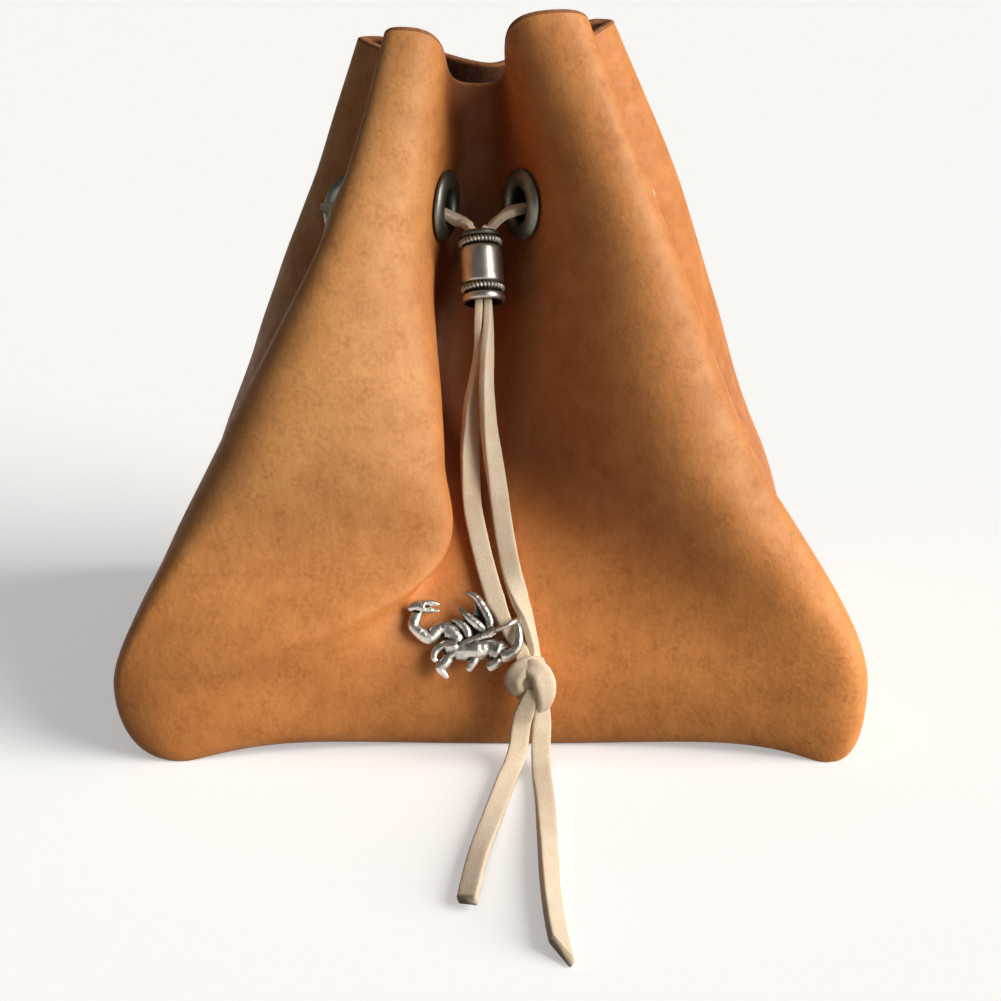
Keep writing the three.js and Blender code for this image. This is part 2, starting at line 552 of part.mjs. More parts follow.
// Cast dragon in profile: limbs, a ribbed wing and a ring for the thong, fused to one solid.
function dragonCharm() {
  let solid = null;
  const fuse = (geometry) => {
    solid = solid ? solid.add(toSolid(geometry)) : toSolid(geometry);
  };
  for (const { points, steps } of DRAGON.limbs) fuse(limb(points, steps));
  const { membrane, ring } = DRAGON;
  const outline = new THREE.Shape(membrane.outline.map(([x, y]) => new THREE.Vector2(x, y)));
  const web = new THREE.ExtrudeGeometry(outline, { depth: membrane.thickness, bevelEnabled: false });
  fuse(web.translate(0, 0, -membrane.thickness / 2));
  const axis = new THREE.Vector3(...ring.axis).normalize();
  const hoop = new THREE.TorusGeometry(ring.radius, ring.wire, ...ring.sides);
  fuse(hoop.applyMatrix4(standing(new THREE.Vector3(...ring.at), axis)));
  const charm = addPiece("dragon_charm", toGeometry(solid), SILVER);
  charm.position.set(...DRAGON.at);
  charm.rotation.x = Math.PI / 2 - radians(DRAGON.lean);
}

pouchBody();
eyelets();
drawstringNeck();
bead();
strandsAndTails();
knot();
dragonCharm();

export default pouch;
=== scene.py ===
import math

import bpy
import numpy as np
from mathutils import Matrix, Vector, noise


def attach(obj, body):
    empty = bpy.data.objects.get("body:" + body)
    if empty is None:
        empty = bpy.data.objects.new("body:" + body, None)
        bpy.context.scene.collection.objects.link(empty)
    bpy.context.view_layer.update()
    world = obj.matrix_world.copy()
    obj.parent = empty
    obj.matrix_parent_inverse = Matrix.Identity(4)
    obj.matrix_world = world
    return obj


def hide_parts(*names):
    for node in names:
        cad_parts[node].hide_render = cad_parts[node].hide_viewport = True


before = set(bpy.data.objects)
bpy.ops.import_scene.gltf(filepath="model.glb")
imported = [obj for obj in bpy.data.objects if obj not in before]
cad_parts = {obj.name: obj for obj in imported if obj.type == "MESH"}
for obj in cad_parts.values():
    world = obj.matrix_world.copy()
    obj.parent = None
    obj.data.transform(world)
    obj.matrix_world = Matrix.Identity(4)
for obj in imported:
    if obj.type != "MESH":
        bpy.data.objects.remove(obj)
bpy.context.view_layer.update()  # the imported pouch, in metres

MM = 0.001  # metres in a millimetre; every size below is in millimetres

# Leather: the same driving sizes as the solids
WALL = 1.8
GAP = 0.3
BELLY_Z = 12
HIP_Z = 31
WAIST_Z = 48
SHOULDER_Z = 85
SMALL_STEP = 0.004

# Folds, one row each: rim height, share of the flanks beside a ridge that stays at its height, then stations
# at the sole, belly, waist, shoulder and rim.
# A station is [x, y, facing in degrees, handle towards the fold before, handle towards the fold after].
FOLDS = [
    ("valley_front", 104, 0, [3, -42, 270, 44, 46], [4, -45, 270, 36, 38],
     [-6, -22, 270, 17.5, 13.5], [-1.5, -8, 270, 10, 8], [-2, -7.5, 270, 9.5, 10.5]),
    ("ridge_front_right", 117.5, 0, [56, -49.4, 308, 5, 6], [60.2, -50, 312, 6, 5],
     [41.5, -40.4, 305, 19.5, 5], [22.8, -30.9, 275.5, 12.7, 15], [11.2, -21.3, 283, 17.4, 12]),
    ("valley_right", 106, 0, [52, 0, 360, 30, 30], [55, 0, 360, 28, 28],
     [38, 0, 360, 14, 14], [14, -1, 360, 6, 7], [8, -1, 360, 5, 5]),
    ("ridge_back_right", 112.5, 0.12, [49.5, 43.5, 45, 5, 5], [54, 48, 45, 6, 6],
     [43, 35, 45, 10, 10], [32.4, 23, 40, 9, 9], [20.7, 17, 45, 6, 6]),
    ("valley_back", 106, 0, [0, 41, 90, 34, 34], [0, 45, 90, 30, 30],
     [0, 27, 90, 10, 10], [0, 9, 90, 6, 6], [0, 7, 90, 5, 5]),
    ("ridge_back_left", 109.5, 0.12, [-49.5, 43.5, 135, 5, 5], [-54, 48, 135, 6, 6],
     [-43.4, 35, 135, 10, 10], [-30.7, 23, 140, 9, 9], [-22.5, 17, 135, 6, 6]),
    ("valley_left", 105, 0, [-52, 0, 180, 30, 30], [-55, 0, 180, 28, 28],
     [-38, 0, 180, 14, 14], [-14, -1, 180, 7, 6], [-9, -1, 180, 5, 5]),
    ("ridge_front_left", 114.7, 0, [-51.8, -49, 235, 6, 5], [-59.3, -49.5, 246, 6, 13],
     [-34.3, -41.7, 273, 20, 51.3], [-18.7, -28.4, 284, 18, 16], [-14.6, -20.4, 265, 8.3, 12.8]),
]
FLANKS = len(FOLDS)
HIPS = {"ridge_front_left": [-49, -43.5, 271, 9.5, 72]}  # station at the hip, for a fold that has one

# Eyelets: flank, place along it and level, and the flattening of the leather round each
EYELETS = {
    "front_right": (0, 0.395, 0.758),
    "right_front": (1, 0.55, 0.74),
    "right_back": (2, 0.38, 0.75),
    "back_right": (3, 0.6, 0.75),
    "back_left": (4, 0.4, 0.75),
    "left_back": (5, 0.58, 0.715),
    "left_front": (6, 0.45, 0.74),
    "front_left": (7, 0.6, 0.76),
}
PRESS_FLAT = 7.4
PRESS_BLEND = 11
PRESS_FOLD_SHARE = 0.16
HOLE_RADIUS = 4

# Grid of the leather's fine mesh
COLUMNS_PER_FLANK = 40
FOOT_ROWS = 12
WALL_ROWS = 94
WALL_TOP = 0.994
SOLE_RINGS = [0.2, 0.4, 0.6, 0.78, 0.9, 0.97]
RIM_ROUND = 0.35
RIM_ARC = [0, 30, 60, 90]

# Thong
THONG_WIDTH = 3.1
THONG_THICKNESS = 1.3
THONG_SQUEEZE = 1.25  # how much thicker it gets where it is squeezed narrow
THONG_CORNER = 0.3
THONG_STEP = 0.4
THONG_FUZZ = 0.03
FUZZ_WAVES = [(1.1, 1), (2.7, 0.6)]  # waves to a millimetre, and their weight
STRAND_STEP = 0.75  # from the bead's axis to the middle of each strand in it
NECK_OUTSIDE = 3
NECK_INSIDE = 2.5
NECK_DROP = 0.6
NECK_FRONT_DROPS = {"front_left": 2.4, "front_right": 1.3}  # where the thong leaves the front eyelets
NECK_OVER_BEAD = 0.7
NECK_SPREAD = 2.1  # how much wider than in the bead the strands stand there
NECK_ORDER = list(EYELETS)[::-1]  # round the neck from the left front eyelet to the right one
BEAD_AT = (-1.4, -20.4, 75.4)
BEAD_LEAN = 27  # degrees, upper end to the back
BEAD_TIP = 3  # degrees, upper end to the left
BEAD_LENGTH = 11.9
BEAD_TURN = -90  # in the bead the strands lie side by side, edge on to the front

# Routes below the bead, rows of [x, y, z, turn of the broad face in degrees, share of the full width].
# The strands start in the bead and end in the knot, and the tails start in the knot.
ROUTES = {
    "strand_left": [
        [-1.75, -24.5, 66.6, -80], [-1.6, -25.1, 62.4, -66], [-2.3, -25.2, 57.6, -56], [-3, -25.3, 53.6, -46],
        [-3.2, -25.7, 50, -38], [-3.4, -26.9, 45.9, -25], [-3.2, -29.2, 41.1, -10], [-2.9, -31.6, 37.6],
        [-1.9, -34.9, 33.4], [-0.5, -38.7, 28.7], [0.9, -41.8, 25], [1.8, -43.7, 23.4, 0, 0.8],
        [2.6, -44.9, 21.9, 0, 0.7], [3.4, -44.5, 20.2, 0, 0.75], [4.3, -44.9, 18.8, 0, 0.75],
        [5, -45.8, 17.7, 0, 0.75], [5.5, -47, 16, 0, 0.75], [5.9, -47.9, 14.2, 0, 0.7],
    ],
    "strand_right": [
        [-0.3, -24.9, 66.7, -80], [-0.5, -26.4, 62.3, -66], [-0.6, -27, 57.1, -62], [-0.4, -27.3, 52.9, -55],
        [-0.2, -27.6, 50, -48], [0.35, -28.6, 46.2, -35], [1.1, -30.5, 41.7, -20], [1.6, -32.2, 38.6, -8],
        [2.5, -35.3, 33.4], [3.6, -38.9, 28.7], [4.9, -41.8, 24.8, -40], [5.9, -43.6, 22.4, -65],
        [6.6, -44.6, 20, -70, 0.85], [7.1, -45.4, 17.6, -70, 0.75], [7.2, -46.4, 16, -60, 0.75],
        [7.2, -47.5, 14.2, -40, 0.7],
    ],
    "tail_left": [
        [6.7, -50.2, 12.8, 0, 0.5], [6.3, -50.3, 11.2, 0, 0.8], [5.6, -49.9, 8.9], [5, -49.7, 6.4],
        [4.6, -51.2, 3.4], [3.8, -54.4, 1.6], [2.8, -58.5, 1],
        [1.6, -66, 1], [0.4, -74, 1.1, 8], [-1.6, -88, 1.4, 24], [-3, -102.4, 1.5, 32],
    ],
    "tail_right": [
        [8.2, -49, 11.5, -20, 0.7], [8.3, -49.3, 9.2, -20, 0.85], [8.3, -49.4, 6.4, -14], [8.2, -51.2, 3.4],
        [8.2, -54.4, 1.6], [8.3, -58.5, 1],
        [8.6, -66.6, 1, -8], [8.7, -84.5, 1.4, -28], [8.8, -97.7, 1.5, -34], [9.3, -110, 1.5, -34],
        [9.9, -117.4, 1.5, -34],
    ],
}
END_CUTS = {"tail_left": 0.7, "tail_right": 1.5}  # slant of each cut end, along over across

# Knot: a filled core and two bands of thong over it, rows of [right, forward, up, width, thickness]
KNOT_AT = (6.4, -48.3, 13.3)
KNOT_CORE = (3.3, 2, 3.3)
KNOT_BANDS = {
    "under": [
        [2.2, 0.2, 3.2, 2.4, 1.3], [0.2, 1, 3.5, 2.8, 1.5], [-1.7, 1.6, 2.5, 3.2, 1.6],
        [-2.6, 1.8, 0.9, 3.2, 1.6], [-2.1, 1.5, -0.6, 2.8, 1.5], [-0.8, 0.9, -1.3, 2.4, 1.4],
        [0.8, 0, -1.2, 2.2, 1.2],
    ],
    "over": [
        [-1.4, 0.4, 2.4, 2.2, 1.2], [0.1, 1.7, 3.1, 3, 1.5], [1.6, 2.3, 2.4, 3.6, 1.7],
        [2.3, 2.6, 0.7, 3.9, 1.8], [2.5, 2.4, -1.3, 3.4, 1.7], [2.3, 1.9, -3, 2.6, 1.6],
        [1.9, 1, -4.4, 2.2, 1.3],
    ],
}
KNOT_FACING = (0.5, 1.3, 0.5)  # how much a band's face follows its place to the right, forward and up

# Charm: points [x, y, z, radius] in its own axes, x to the right, y up the leather's slope, z outwards
CHARM_AT = (-4.1, -44.8, 20)
CHARM_LEAN = 24
CHARM_LIMBS = {
    "neck": [
        [-7.7, 3.4, 0.9, 0.7], [-8.2, 1.6, 0.9, 0.75], [-7.2, 0.4, 0.8, 0.8], [-5.7, -0.4, 0.5, 0.9],
        [-4.3, 0.9, 0.2, 0.9], [-3.1, 1.1, 0, 0.95], [-1.5, -0.5, 0, 1.1], [-1, -1.8, 0, 1.2]],
    "chest": [[-2, -0.4, 0, 0.8], [-1.9, -2, 0.1, 1.45], [-2.1, -3.4, 0.2, 0.9]],
    "body": [
        [-1.7, -2.3, 0, 1.3], [0.2, -2.3, 0, 1.35], [2.1, -2.3, 0, 1.5], [3.9, -2.1, 0, 1.2],
        [5.5, -2.6, 0, 1.4], [6.8, -3.1, 0.3, 0.9]],
    "tail": [
        [6.3, -3.3, 0.6, 0.9], [7.5, -3.1, 1.1, 0.75], [8.6, -1.9, 1.6, 0.55], [8.8, -0.3, 1.6, 0.5],
        [8.6, 1.2, 1.4, 0.5], [8.3, 2.2, 1, 0.45]],
    "upper_jaw": [[-6.6, 4.4, 0.8, 0.85], [-7.7, 4.6, 0.9, 0.75], [-9.1, 4.3, 1, 0.45]],
    "lower_jaw": [[-7.2, 3.7, 0.8, 0.6], [-8.4, 3.3, 0.9, 0.35]],
    "brow": [[-7, 4.8, 1.4, 0.4], [-7.8, 4.9, 1.4, 0.3]],
    "horn": [[-6.8, 5, 1, 0.5], [-5.4, 5.2, 0.9, 0.4], [-4.1, 4.9, 0.8, 0.2]],
    "ear": [[-6.5, 4.1, 0.9, 0.5], [-4.1, 3.9, 0.8, 0.2]],
    "wing_arm": [
        [-3.1, -4.2, 0.8, 0.45], [-1.4, -2.5, 1.1, 0.5], [-0.1, -1.6, 1, 0.55], [2, -0.7, 0.7, 0.6],
        [3.6, 0.1, 0.5, 0.6], [5, 0.8, 0.9, 0.5]],
    "wing_finger_upper": [
        [3.6, 0.1, 0.3, 0.6], [4.1, 1.9, 0.4, 0.6], [3.2, 4.1, 0.4, 0.55], [1.7, 6.2, 0.3, 0.45],
        [0.2, 7, 0.2, 0.2]],
    "wing_finger_middle": [
        [3.6, 0.3, 0.3, 0.6], [2.1, 1.7, 0.4, 0.6], [0.3, 3.2, 0.4, 0.5], [-0.9, 4.6, 0.2, 0.2]],
    "wing_finger_lower": [
        [0.7, -0.9, 0.4, 0.6], [0.3, 0.8, 0.4, 0.55], [-0.8, 2, 0.3, 0.45], [-2.1, 2.5, 0.2, 0.2]],
    "raised_paw": [
        [-2.4, -1.4, 0.5, 0.7], [-3.8, -1.9, 0.6, 0.5], [-4.7, -2.7, 0.6, 0.5], [-4.9, -3.8, 0.6, 0.4],
        [-4.5, -4.2, 0.6, 0.3]],
    "fore_leg": [[-2, -2.6, 0, 0.8], [-3, -4.3, 0.6, 0.7], [-3.9, -5.3, 0.5, 0.7], [-2.7, -6.9, 0.4, 0.25]],
    "middle_leg": [[2.1, -2.4, 0, 0.8], [1.6, -4, 0.6, 0.65], [0.6, -5.7, 0.5, 0.4]],
    "hind_leg": [[6, -3.2, 0, 0.8], [5.1, -4.4, 0.6, 0.7], [3.8, -5.3, 0.5, 0.55]],
}
CHARM_WEB = [[3.6, -0.1], [4.1, 1.9], [3.2, 4.1], [1.2, 6.4], [1.6, 4.4], [1.1, 3], [-0.6, 4.2], [0.1, 2.6],
             [-0.7, 2], [0.3, 0.8], [0.6, -1]]
CHARM_WEB_THICKNESS = 0.5
CHARM_WEB_BACK = 0.3  # how far the web lies behind the wing's fingers
CHARM_RING = {"at": (6.7, 1.6, 1), "axis": (0.44, -0.89, -0.12), "radius": 1.95, "wire": 0.45}

# Camera
CAMERA_AT = (1.7, -400, 150)
CAMERA_PITCH = 16.8  # degrees below level
SENSOR = 36
FOCAL_PIXELS = 2335
IMAGE_PIXELS = 1001
CLIP_RANGE = (0.01, 100)  # metres


# Small helpers
def smooth_step(value):
    t = np.clip(value, 0, 1)
    return t * t * (3 - 2 * t)


def ramp(value, low, high):
    """Smooth rise from 0 at the low value to 1 at the high one."""
    return smooth_step((value - low) / (high - low))


def mix(a, b, t):
    return a + (b - a) * t


def unit(vectors):
    return vectors / np.linalg.norm(vectors, axis=-1, keepdims=True)


def round_angles(count):
    """Even angles of one whole turn."""
    return np.arange(count) / count * 2 * math.pi


def through(heights, rows, z):
    """Smooth curve through the rows given at the heights, level at its first row, read at the heights z."""
    heights = np.asarray(heights, float)
    rows = np.asarray(rows, float)
    last = len(heights) - 1
    slopes = np.zeros_like(rows)
    for i in range(1, last + 1):
        following = min(i + 1, last)
        slopes[i] = (rows[following] - rows[i - 1]) / (heights[following] - heights[i - 1])
    i = np.clip(np.searchsorted(heights, z) - 1, 0, last - 1)
    step = (heights[i + 1] - heights[i])[..., None]
    t = (z - heights[i])[..., None] / step
    t2 = t * t
    t3 = t2 * t
    places = (2 * t3 - 3 * t2 + 1) * rows[i] + (3 * t2 - 2 * t3) * rows[i + 1]
    return places + step * ((t3 - 2 * t2 + t) * slopes[i] + (t3 - t2) * slopes[i + 1])


# Leather surface, as functions of along, which counts flanks round the bag, and level, -1 sole to 1 rim
def fold_at(fold, level):
    """Plan point, height, tangent and handles of one fold at the levels."""
    name, rim_z, _, sole, belly, waist, shoulder, rim = fold
    turn = (np.minimum(level, 0) + 1) * math.pi / 2
    foot = mix(np.asarray(sole, float), np.asarray(belly, float), np.sin(turn)[..., None])
    wall_z = mix(BELLY_Z, rim_z, np.maximum(level, 0))
    stations = {BELLY_Z: belly, HIP_Z: HIPS.get(name), WAIST_Z: waist, SHOULDER_Z: shoulder, rim_z: rim}
    stations = {height: row for height, row in stations.items() if row}
    wall = through(list(stations), list(stations.values()), wall_z)
    below = level <= 0
    station = np.where(below[..., None], foot, wall)
    z = np.where(below, BELLY_Z * (1 - np.cos(turn)), wall_z)
    facing = np.radians(station[..., 2])
    tangent = np.stack([-np.sin(facing), np.cos(facing)], axis=-1)
    return station[..., :2], z, tangent, station[..., 3:4], station[..., 4:5]


def folded_points(along, level):
    """Points of the outer surface as the folds alone give it."""
    along, level = np.broadcast_arrays(np.asarray(along, float) % FLANKS, np.asarray(level, float))
    flank = np.floor(along).astype(int)
    points = np.empty(along.shape + (3,))
    for k in range(FLANKS):
        here = flank == k
        t = (along[here] - k)[:, None]
        start, start_z, start_tangent, _, leave = fold_at(FOLDS[k], level[here])
        end, end_z, end_tangent, arrive, _ = fold_at(FOLDS[(k + 1) % FLANKS], level[here])
        first = start + start_tangent * leave
        second = end - end_tangent * arrive
        s = 1 - t
        plan = s**3 * start + 3 * s * s * t * first + 3 * s * t * t * second + t**3 * end
        from_ridge = k % 2
        hold = FOLDS[k if from_ridge else (k + 1) % FLANKS][2]
        fall = (t[:, 0] - hold * from_ridge) / (1 - hold)
        points[here] = np.column_stack([plan, mix(start_z, end_z, smooth_step(fall))])
    return points


def surface_normals(surface, along, level):
    """Outward normals of a surface that is a function of along and level."""
    round_step = surface(along + SMALL_STEP, level) - surface(along - SMALL_STEP, level)
    high = np.minimum(np.asarray(level) + SMALL_STEP, 1)
    low = np.maximum(np.asarray(level) - SMALL_STEP, -1)
    return unit(np.cross(round_step, surface(along, high) - surface(along, low)))


def eyelet_seats():
    """Centre and outward normal of each eyelet."""
    seats = {}
    for name, (flank, along, level) in EYELETS.items():
        place = np.array([flank + along])
        centre = folded_points(place, np.array([level]))[0]
        seats[name] = (centre, surface_normals(folded_points, place, np.array([level]))[0])
    return seats


SEATS = eyelet_seats()
SEAT_OF_FLANK = {EYELETS[name][0]: seat for name, seat in SEATS.items()}


def from_seat(points, centre, normal):
    """Height of points over an eyelet's seat, their offsets along the seat and how long these are."""
    offset = points - centre
    height = offset @ normal
    flat = offset - height[..., None] * normal
    return height, flat, np.linalg.norm(flat, axis=-1)


def outer_points(along, level):
    """Outer surface: the folded leather, pressed flat where each flank's eyelet clamps it."""
    along, level = np.broadcast_arrays(np.asarray(along, float) % FLANKS, np.asarray(level, float))
    points = folded_points(along, level)
    flank = np.floor(along).astype(int)
    from_fold = np.minimum(along - flank, flank + 1 - along)
    for k, (centre, normal) in SEAT_OF_FLANK.items():
        here = flank == k
        height, _, radius = from_seat(points[here], centre, normal)
        near = 1 - ramp(radius, PRESS_FLAT, PRESS_BLEND)
        press = height * near * smooth_step(from_fold[here] / PRESS_FOLD_SHARE)
        points[here] -= press[:, None] * normal
    return points


# Meshes
def new_object(name, vertices, faces, materials):
    """Smooth object from vertices in millimetres."""
    mesh = bpy.data.meshes.new(name)
    mesh.from_pydata((np.asarray(vertices, float) * MM).tolist(), [], faces)
    for material in materials:
        mesh.materials.append(material)
    mesh.polygons.foreach_set("use_smooth", [True] * len(mesh.polygons))
    mesh.update()
    piece = bpy.data.objects.new(name, mesh)
    bpy.context.collection.objects.link(piece)
    return piece


def paint(piece, name, values):
    """Keeps one number for each vertex, for the material to read."""
    attribute = piece.data.attributes.new(name, "FLOAT", "POINT")
    attribute.data.foreach_set("value", np.asarray(values, np.float32))


def ring_faces(rows, columns, closed=False):
    """Quads between consecutive rings of vertices."""
    faces = []
    for r in range(rows if closed else rows - 1):
        low = r * columns
        high = (r + 1) % rows * columns
        for c in range(columns):
            d = (c + 1) % columns
            faces.append((low + c, low + d, high + d, high + c))
    return faces


def end_faces(columns, count):
    """Flat faces over the first and the last ring of count vertices."""
    return [tuple(range(columns))[::-1], tuple(range(count - columns, count))]


def end_fans(columns, middle):
    """Triangles from the first ring to a middle vertex, and from the last ring to the vertex after it."""
    last = middle - columns
    faces = []
    for c in range(columns):
        d = (c + 1) % columns
        faces += [(d, c, middle), (last + c, last + d, middle + 1)]
    return faces


def lathe(profile, sides, closed=True):
    """Rings of vertices for a profile of [radius, height], turned about +Z."""
    profile = np.asarray(profile, float)
    angles = round_angles(sides)
    circle = np.column_stack([np.cos(angles), np.sin(angles), np.zeros(sides)])
    rings = profile[:, :1, None] * circle[None]
    rings[:, :, 2] = profile[:, 1:2]
    return rings.reshape(-1, 3), ring_faces(len(profile), sides, closed=closed)


def standing(vertices, point, direction):
    """Vertices whose own +Z is put along a direction at a point."""
    turn = Vector((0, 0, 1)).rotation_difference(Vector(direction)).to_matrix()
    return np.asarray(vertices) @ np.array(turn).T + np.asarray(point)


def curve_points(rows, t):
    """Centripetal curve through the rows, its parameter even from row to row."""
    rows = np.asarray(rows, float)
    rows = np.vstack([2 * rows[0] - rows[1], rows, 2 * rows[-1] - rows[-2]])
    place = np.asarray(t) * (len(rows) - 3)
    i = np.minimum(np.floor(place).astype(int), len(rows) - 4)
    w = (place - i)[:, None]
    a, b, c, d = rows[i], rows[i + 1], rows[i + 2], rows[i + 3]
    first, middle, last = (
        np.linalg.norm(q - p, axis=1, keepdims=True) ** 0.5 for p, q in ((a, b), (b, c), (c, d)))
    leave = ((b - a) / first - (c - a) / (first + middle) + (c - b) / middle) * middle
    arrive = ((c - b) / middle - (d - b) / (middle + last) + (d - c) / last) * middle
    bend = -3 * b + 3 * c - 2 * leave - arrive
    return b + leave * w + bend * w**2 + (2 * b - 2 * c + leave + arrive) * w**3


def table_column(rows, k, plain, t):
    """Values of one column of a route's rows, read evenly from row to row."""
    values = [row[k] if len(row) > k else plain for row in rows]
    return np.interp(t * (len(rows) - 1), np.arange(len(rows)), values)


SECTION_ARC = 4
SECTION_FLAT = 6
SLANT_RUN = 8  # length over which a thong's slanted end is drawn out
LENGTH_STEPS = 400  # points that a route's length is measured on


def flat_section(width, thickness, corner):
    """Section of a flat thong with round corners, as [across, out] points."""
    arc = np.radians(np.linspace(0, 90, SECTION_ARC))
    x = width / 2 - corner
    y = thickness / 2 - corner
    right = np.column_stack([x + corner * np.cos(arc), y + corner * np.sin(arc)])
    top = np.column_stack([np.linspace(x, -x, SECTION_FLAT)[1:-1], np.full(SECTION_FLAT - 2, thickness / 2)])
    left = right[::-1] * [-1, 1]
    half = np.vstack([right, top, left])
    return np.vstack([half, -half])


def sweep(name, points, outs, widths, thicknesses, slant=0, round_share=0):
    """Flat thong swept along points, its broad face towards outs. slant is its far end's, along over across,
    and round_share rounds its corners further."""
    count = len(points)
    tangents = unit(np.gradient(points, axis=0))
    outs = unit(outs - np.sum(outs * tangents, axis=1, keepdims=True) * tangents)
    across = np.cross(outs, tangents)
    to_end = np.linalg.norm(points - points[-1], axis=1)
    shifts = slant * np.clip(1 - to_end / SLANT_RUN, 0, 1) ** 2
    vertices = []
    for i in range(count):
        corner = max(THONG_CORNER, round_share * thicknesses[i])
        section = flat_section(widths[i], thicknesses[i], corner)
        ring = points[i] + section[:, :1] * across[i] + section[:, 1:] * outs[i]
        vertices.append(ring + section[:, :1] * shifts[i] * tangents[i])
    columns = len(vertices[0])
    vertices = np.vstack(vertices)
    middles = np.repeat(points, columns, axis=0)
    rough = np.zeros(len(vertices))
    for rate, weight in FUZZ_WAVES:
        rough += weight * np.array([noise.noise(Vector(v * rate)) for v in vertices])
    vertices = vertices + unit(vertices - middles) * rough[:, None] * THONG_FUZZ
    faces = ring_faces(count, columns) + end_faces(columns, len(vertices))
    return new_object(name, vertices, faces, [THONG])


def thong(name, rows, slant=0, faces=None):
    """Thong along a route, its points and its length. Its broad face looks the way that faces gives for
    each row, or else it starts towards -Y, is carried along without spin and is turned by the rows' fourth
    column."""
    coarse = curve_points([row[:3] for row in rows], np.linspace(0, 1, LENGTH_STEPS))
    length = np.sum(np.linalg.norm(np.diff(coarse, axis=0), axis=1))
    count = int(length / THONG_STEP) + 1
    t = np.linspace(0, 1, count)
    points = curve_points([row[:3] for row in rows], t)
    tangents = unit(np.gradient(points, axis=0))
    turns = np.radians(table_column(rows, 3, 0, t))
    shares = table_column(rows, 4, 1, t)
    if faces:
        outs = np.column_stack([table_column(faces, k, 0, t) for k in range(3)])
    else:
        outs = np.empty_like(points)
        normal = np.array([0.0, -1.0, 0.0])
        for i, tangent in enumerate(tangents):
            normal = unit(normal - normal @ tangent * tangent)
            outs[i] = math.cos(turns[i]) * normal + math.sin(turns[i]) * np.cross(tangent, normal)
    thicknesses = THONG_THICKNESS * mix(THONG_SQUEEZE, 1, shares)
    piece = sweep(name, points, outs, THONG_WIDTH * shares, thicknesses, slant)
    return piece, points, length


# Colours, as red, green, blue and cover
LEATHER_DEEP = (0.54, 0.17, 0.038, 1)
LEATHER_LIGHT = (0.66, 0.235, 0.062, 1)
LEATHER_SPECK = (0.30, 0.085, 0.018, 1)
EDGE_DARK = (0.24, 0.085, 0.026, 1)
EDGE_LIGHT = (0.40, 0.15, 0.048, 1)
# the flesh side's browns are darkened to the shade inside the bag: painted shade
FLESH_PAINTED_SHADE_DARK = (0.09, 0.03, 0.011, 1)
FLESH_PAINTED_SHADE_LIGHT = (0.19, 0.063, 0.021, 1)
THONG_DARK = (0.85, 0.68, 0.48, 1)
THONG_LIGHT = (0.94, 0.80, 0.61, 1)
THONG_FIBRE = (0.66, 0.48, 0.31, 1)
SILVER_BRIGHT = (0.53, 0.50, 0.44, 1)
SILVER_DARK = (0.035, 0.03, 0.024, 1)
CHARM_BRIGHT = (0.76, 0.72, 0.66, 1)
CHARM_DARK = (0.03, 0.026, 0.02, 1)
GUNMETAL_BRIGHT = (0.23, 0.24, 0.205, 1)
GUNMETAL_DARK = (0.035, 0.036, 0.028, 1)
DULL_METAL = 0.5  # roughness of a metal's recesses

# Leather's markings: size in millimetres, detail, noise where a mark starts and where it is whole, roughness
LEATHER_MARKS = {
    "patches": (16, 3, 0.3, 0.7, 0.5),
    "mottle": (3.2, 4, 0.35, 0.65, 0.5),
    "blotches": (7, 5, 0.42, 0.68, 0.6),
    "specks": (0.8, 3, 0.42, 0.72, 0.6),
}
LEATHER_TINTS = [  # a marking or a painted place, its strength and its colour, each over the one before
    ("mottle", 0.4, (0.74, 0.30, 0.09, 1)),
    # the crests lighter and yellower: partly the leather's pull-up, partly a painted highlight
    ("crest_pull_up_and_highlight", 0.5, (0.80, 0.43, 0.155, 1)),
    # painted light: the low front lighter, weaker on the left
    ("painted_low_front_light", 0.9, (0.98, 0.38, 0.105, 1)),
    # painted shade: the valleys darker from the hip up, most in the front valley
    ("painted_valley_shade", 0.85, (0.17, 0.05, 0.016, 1)),
    ("blotches", 0.3, (0.42, 0.12, 0.026, 1)),
]


# Materials
def set_inputs(node, **values):
    """Constant values for a node's sockets."""
    for name, value in values.items():
        node.inputs[name.replace("_", " ")].default_value = value


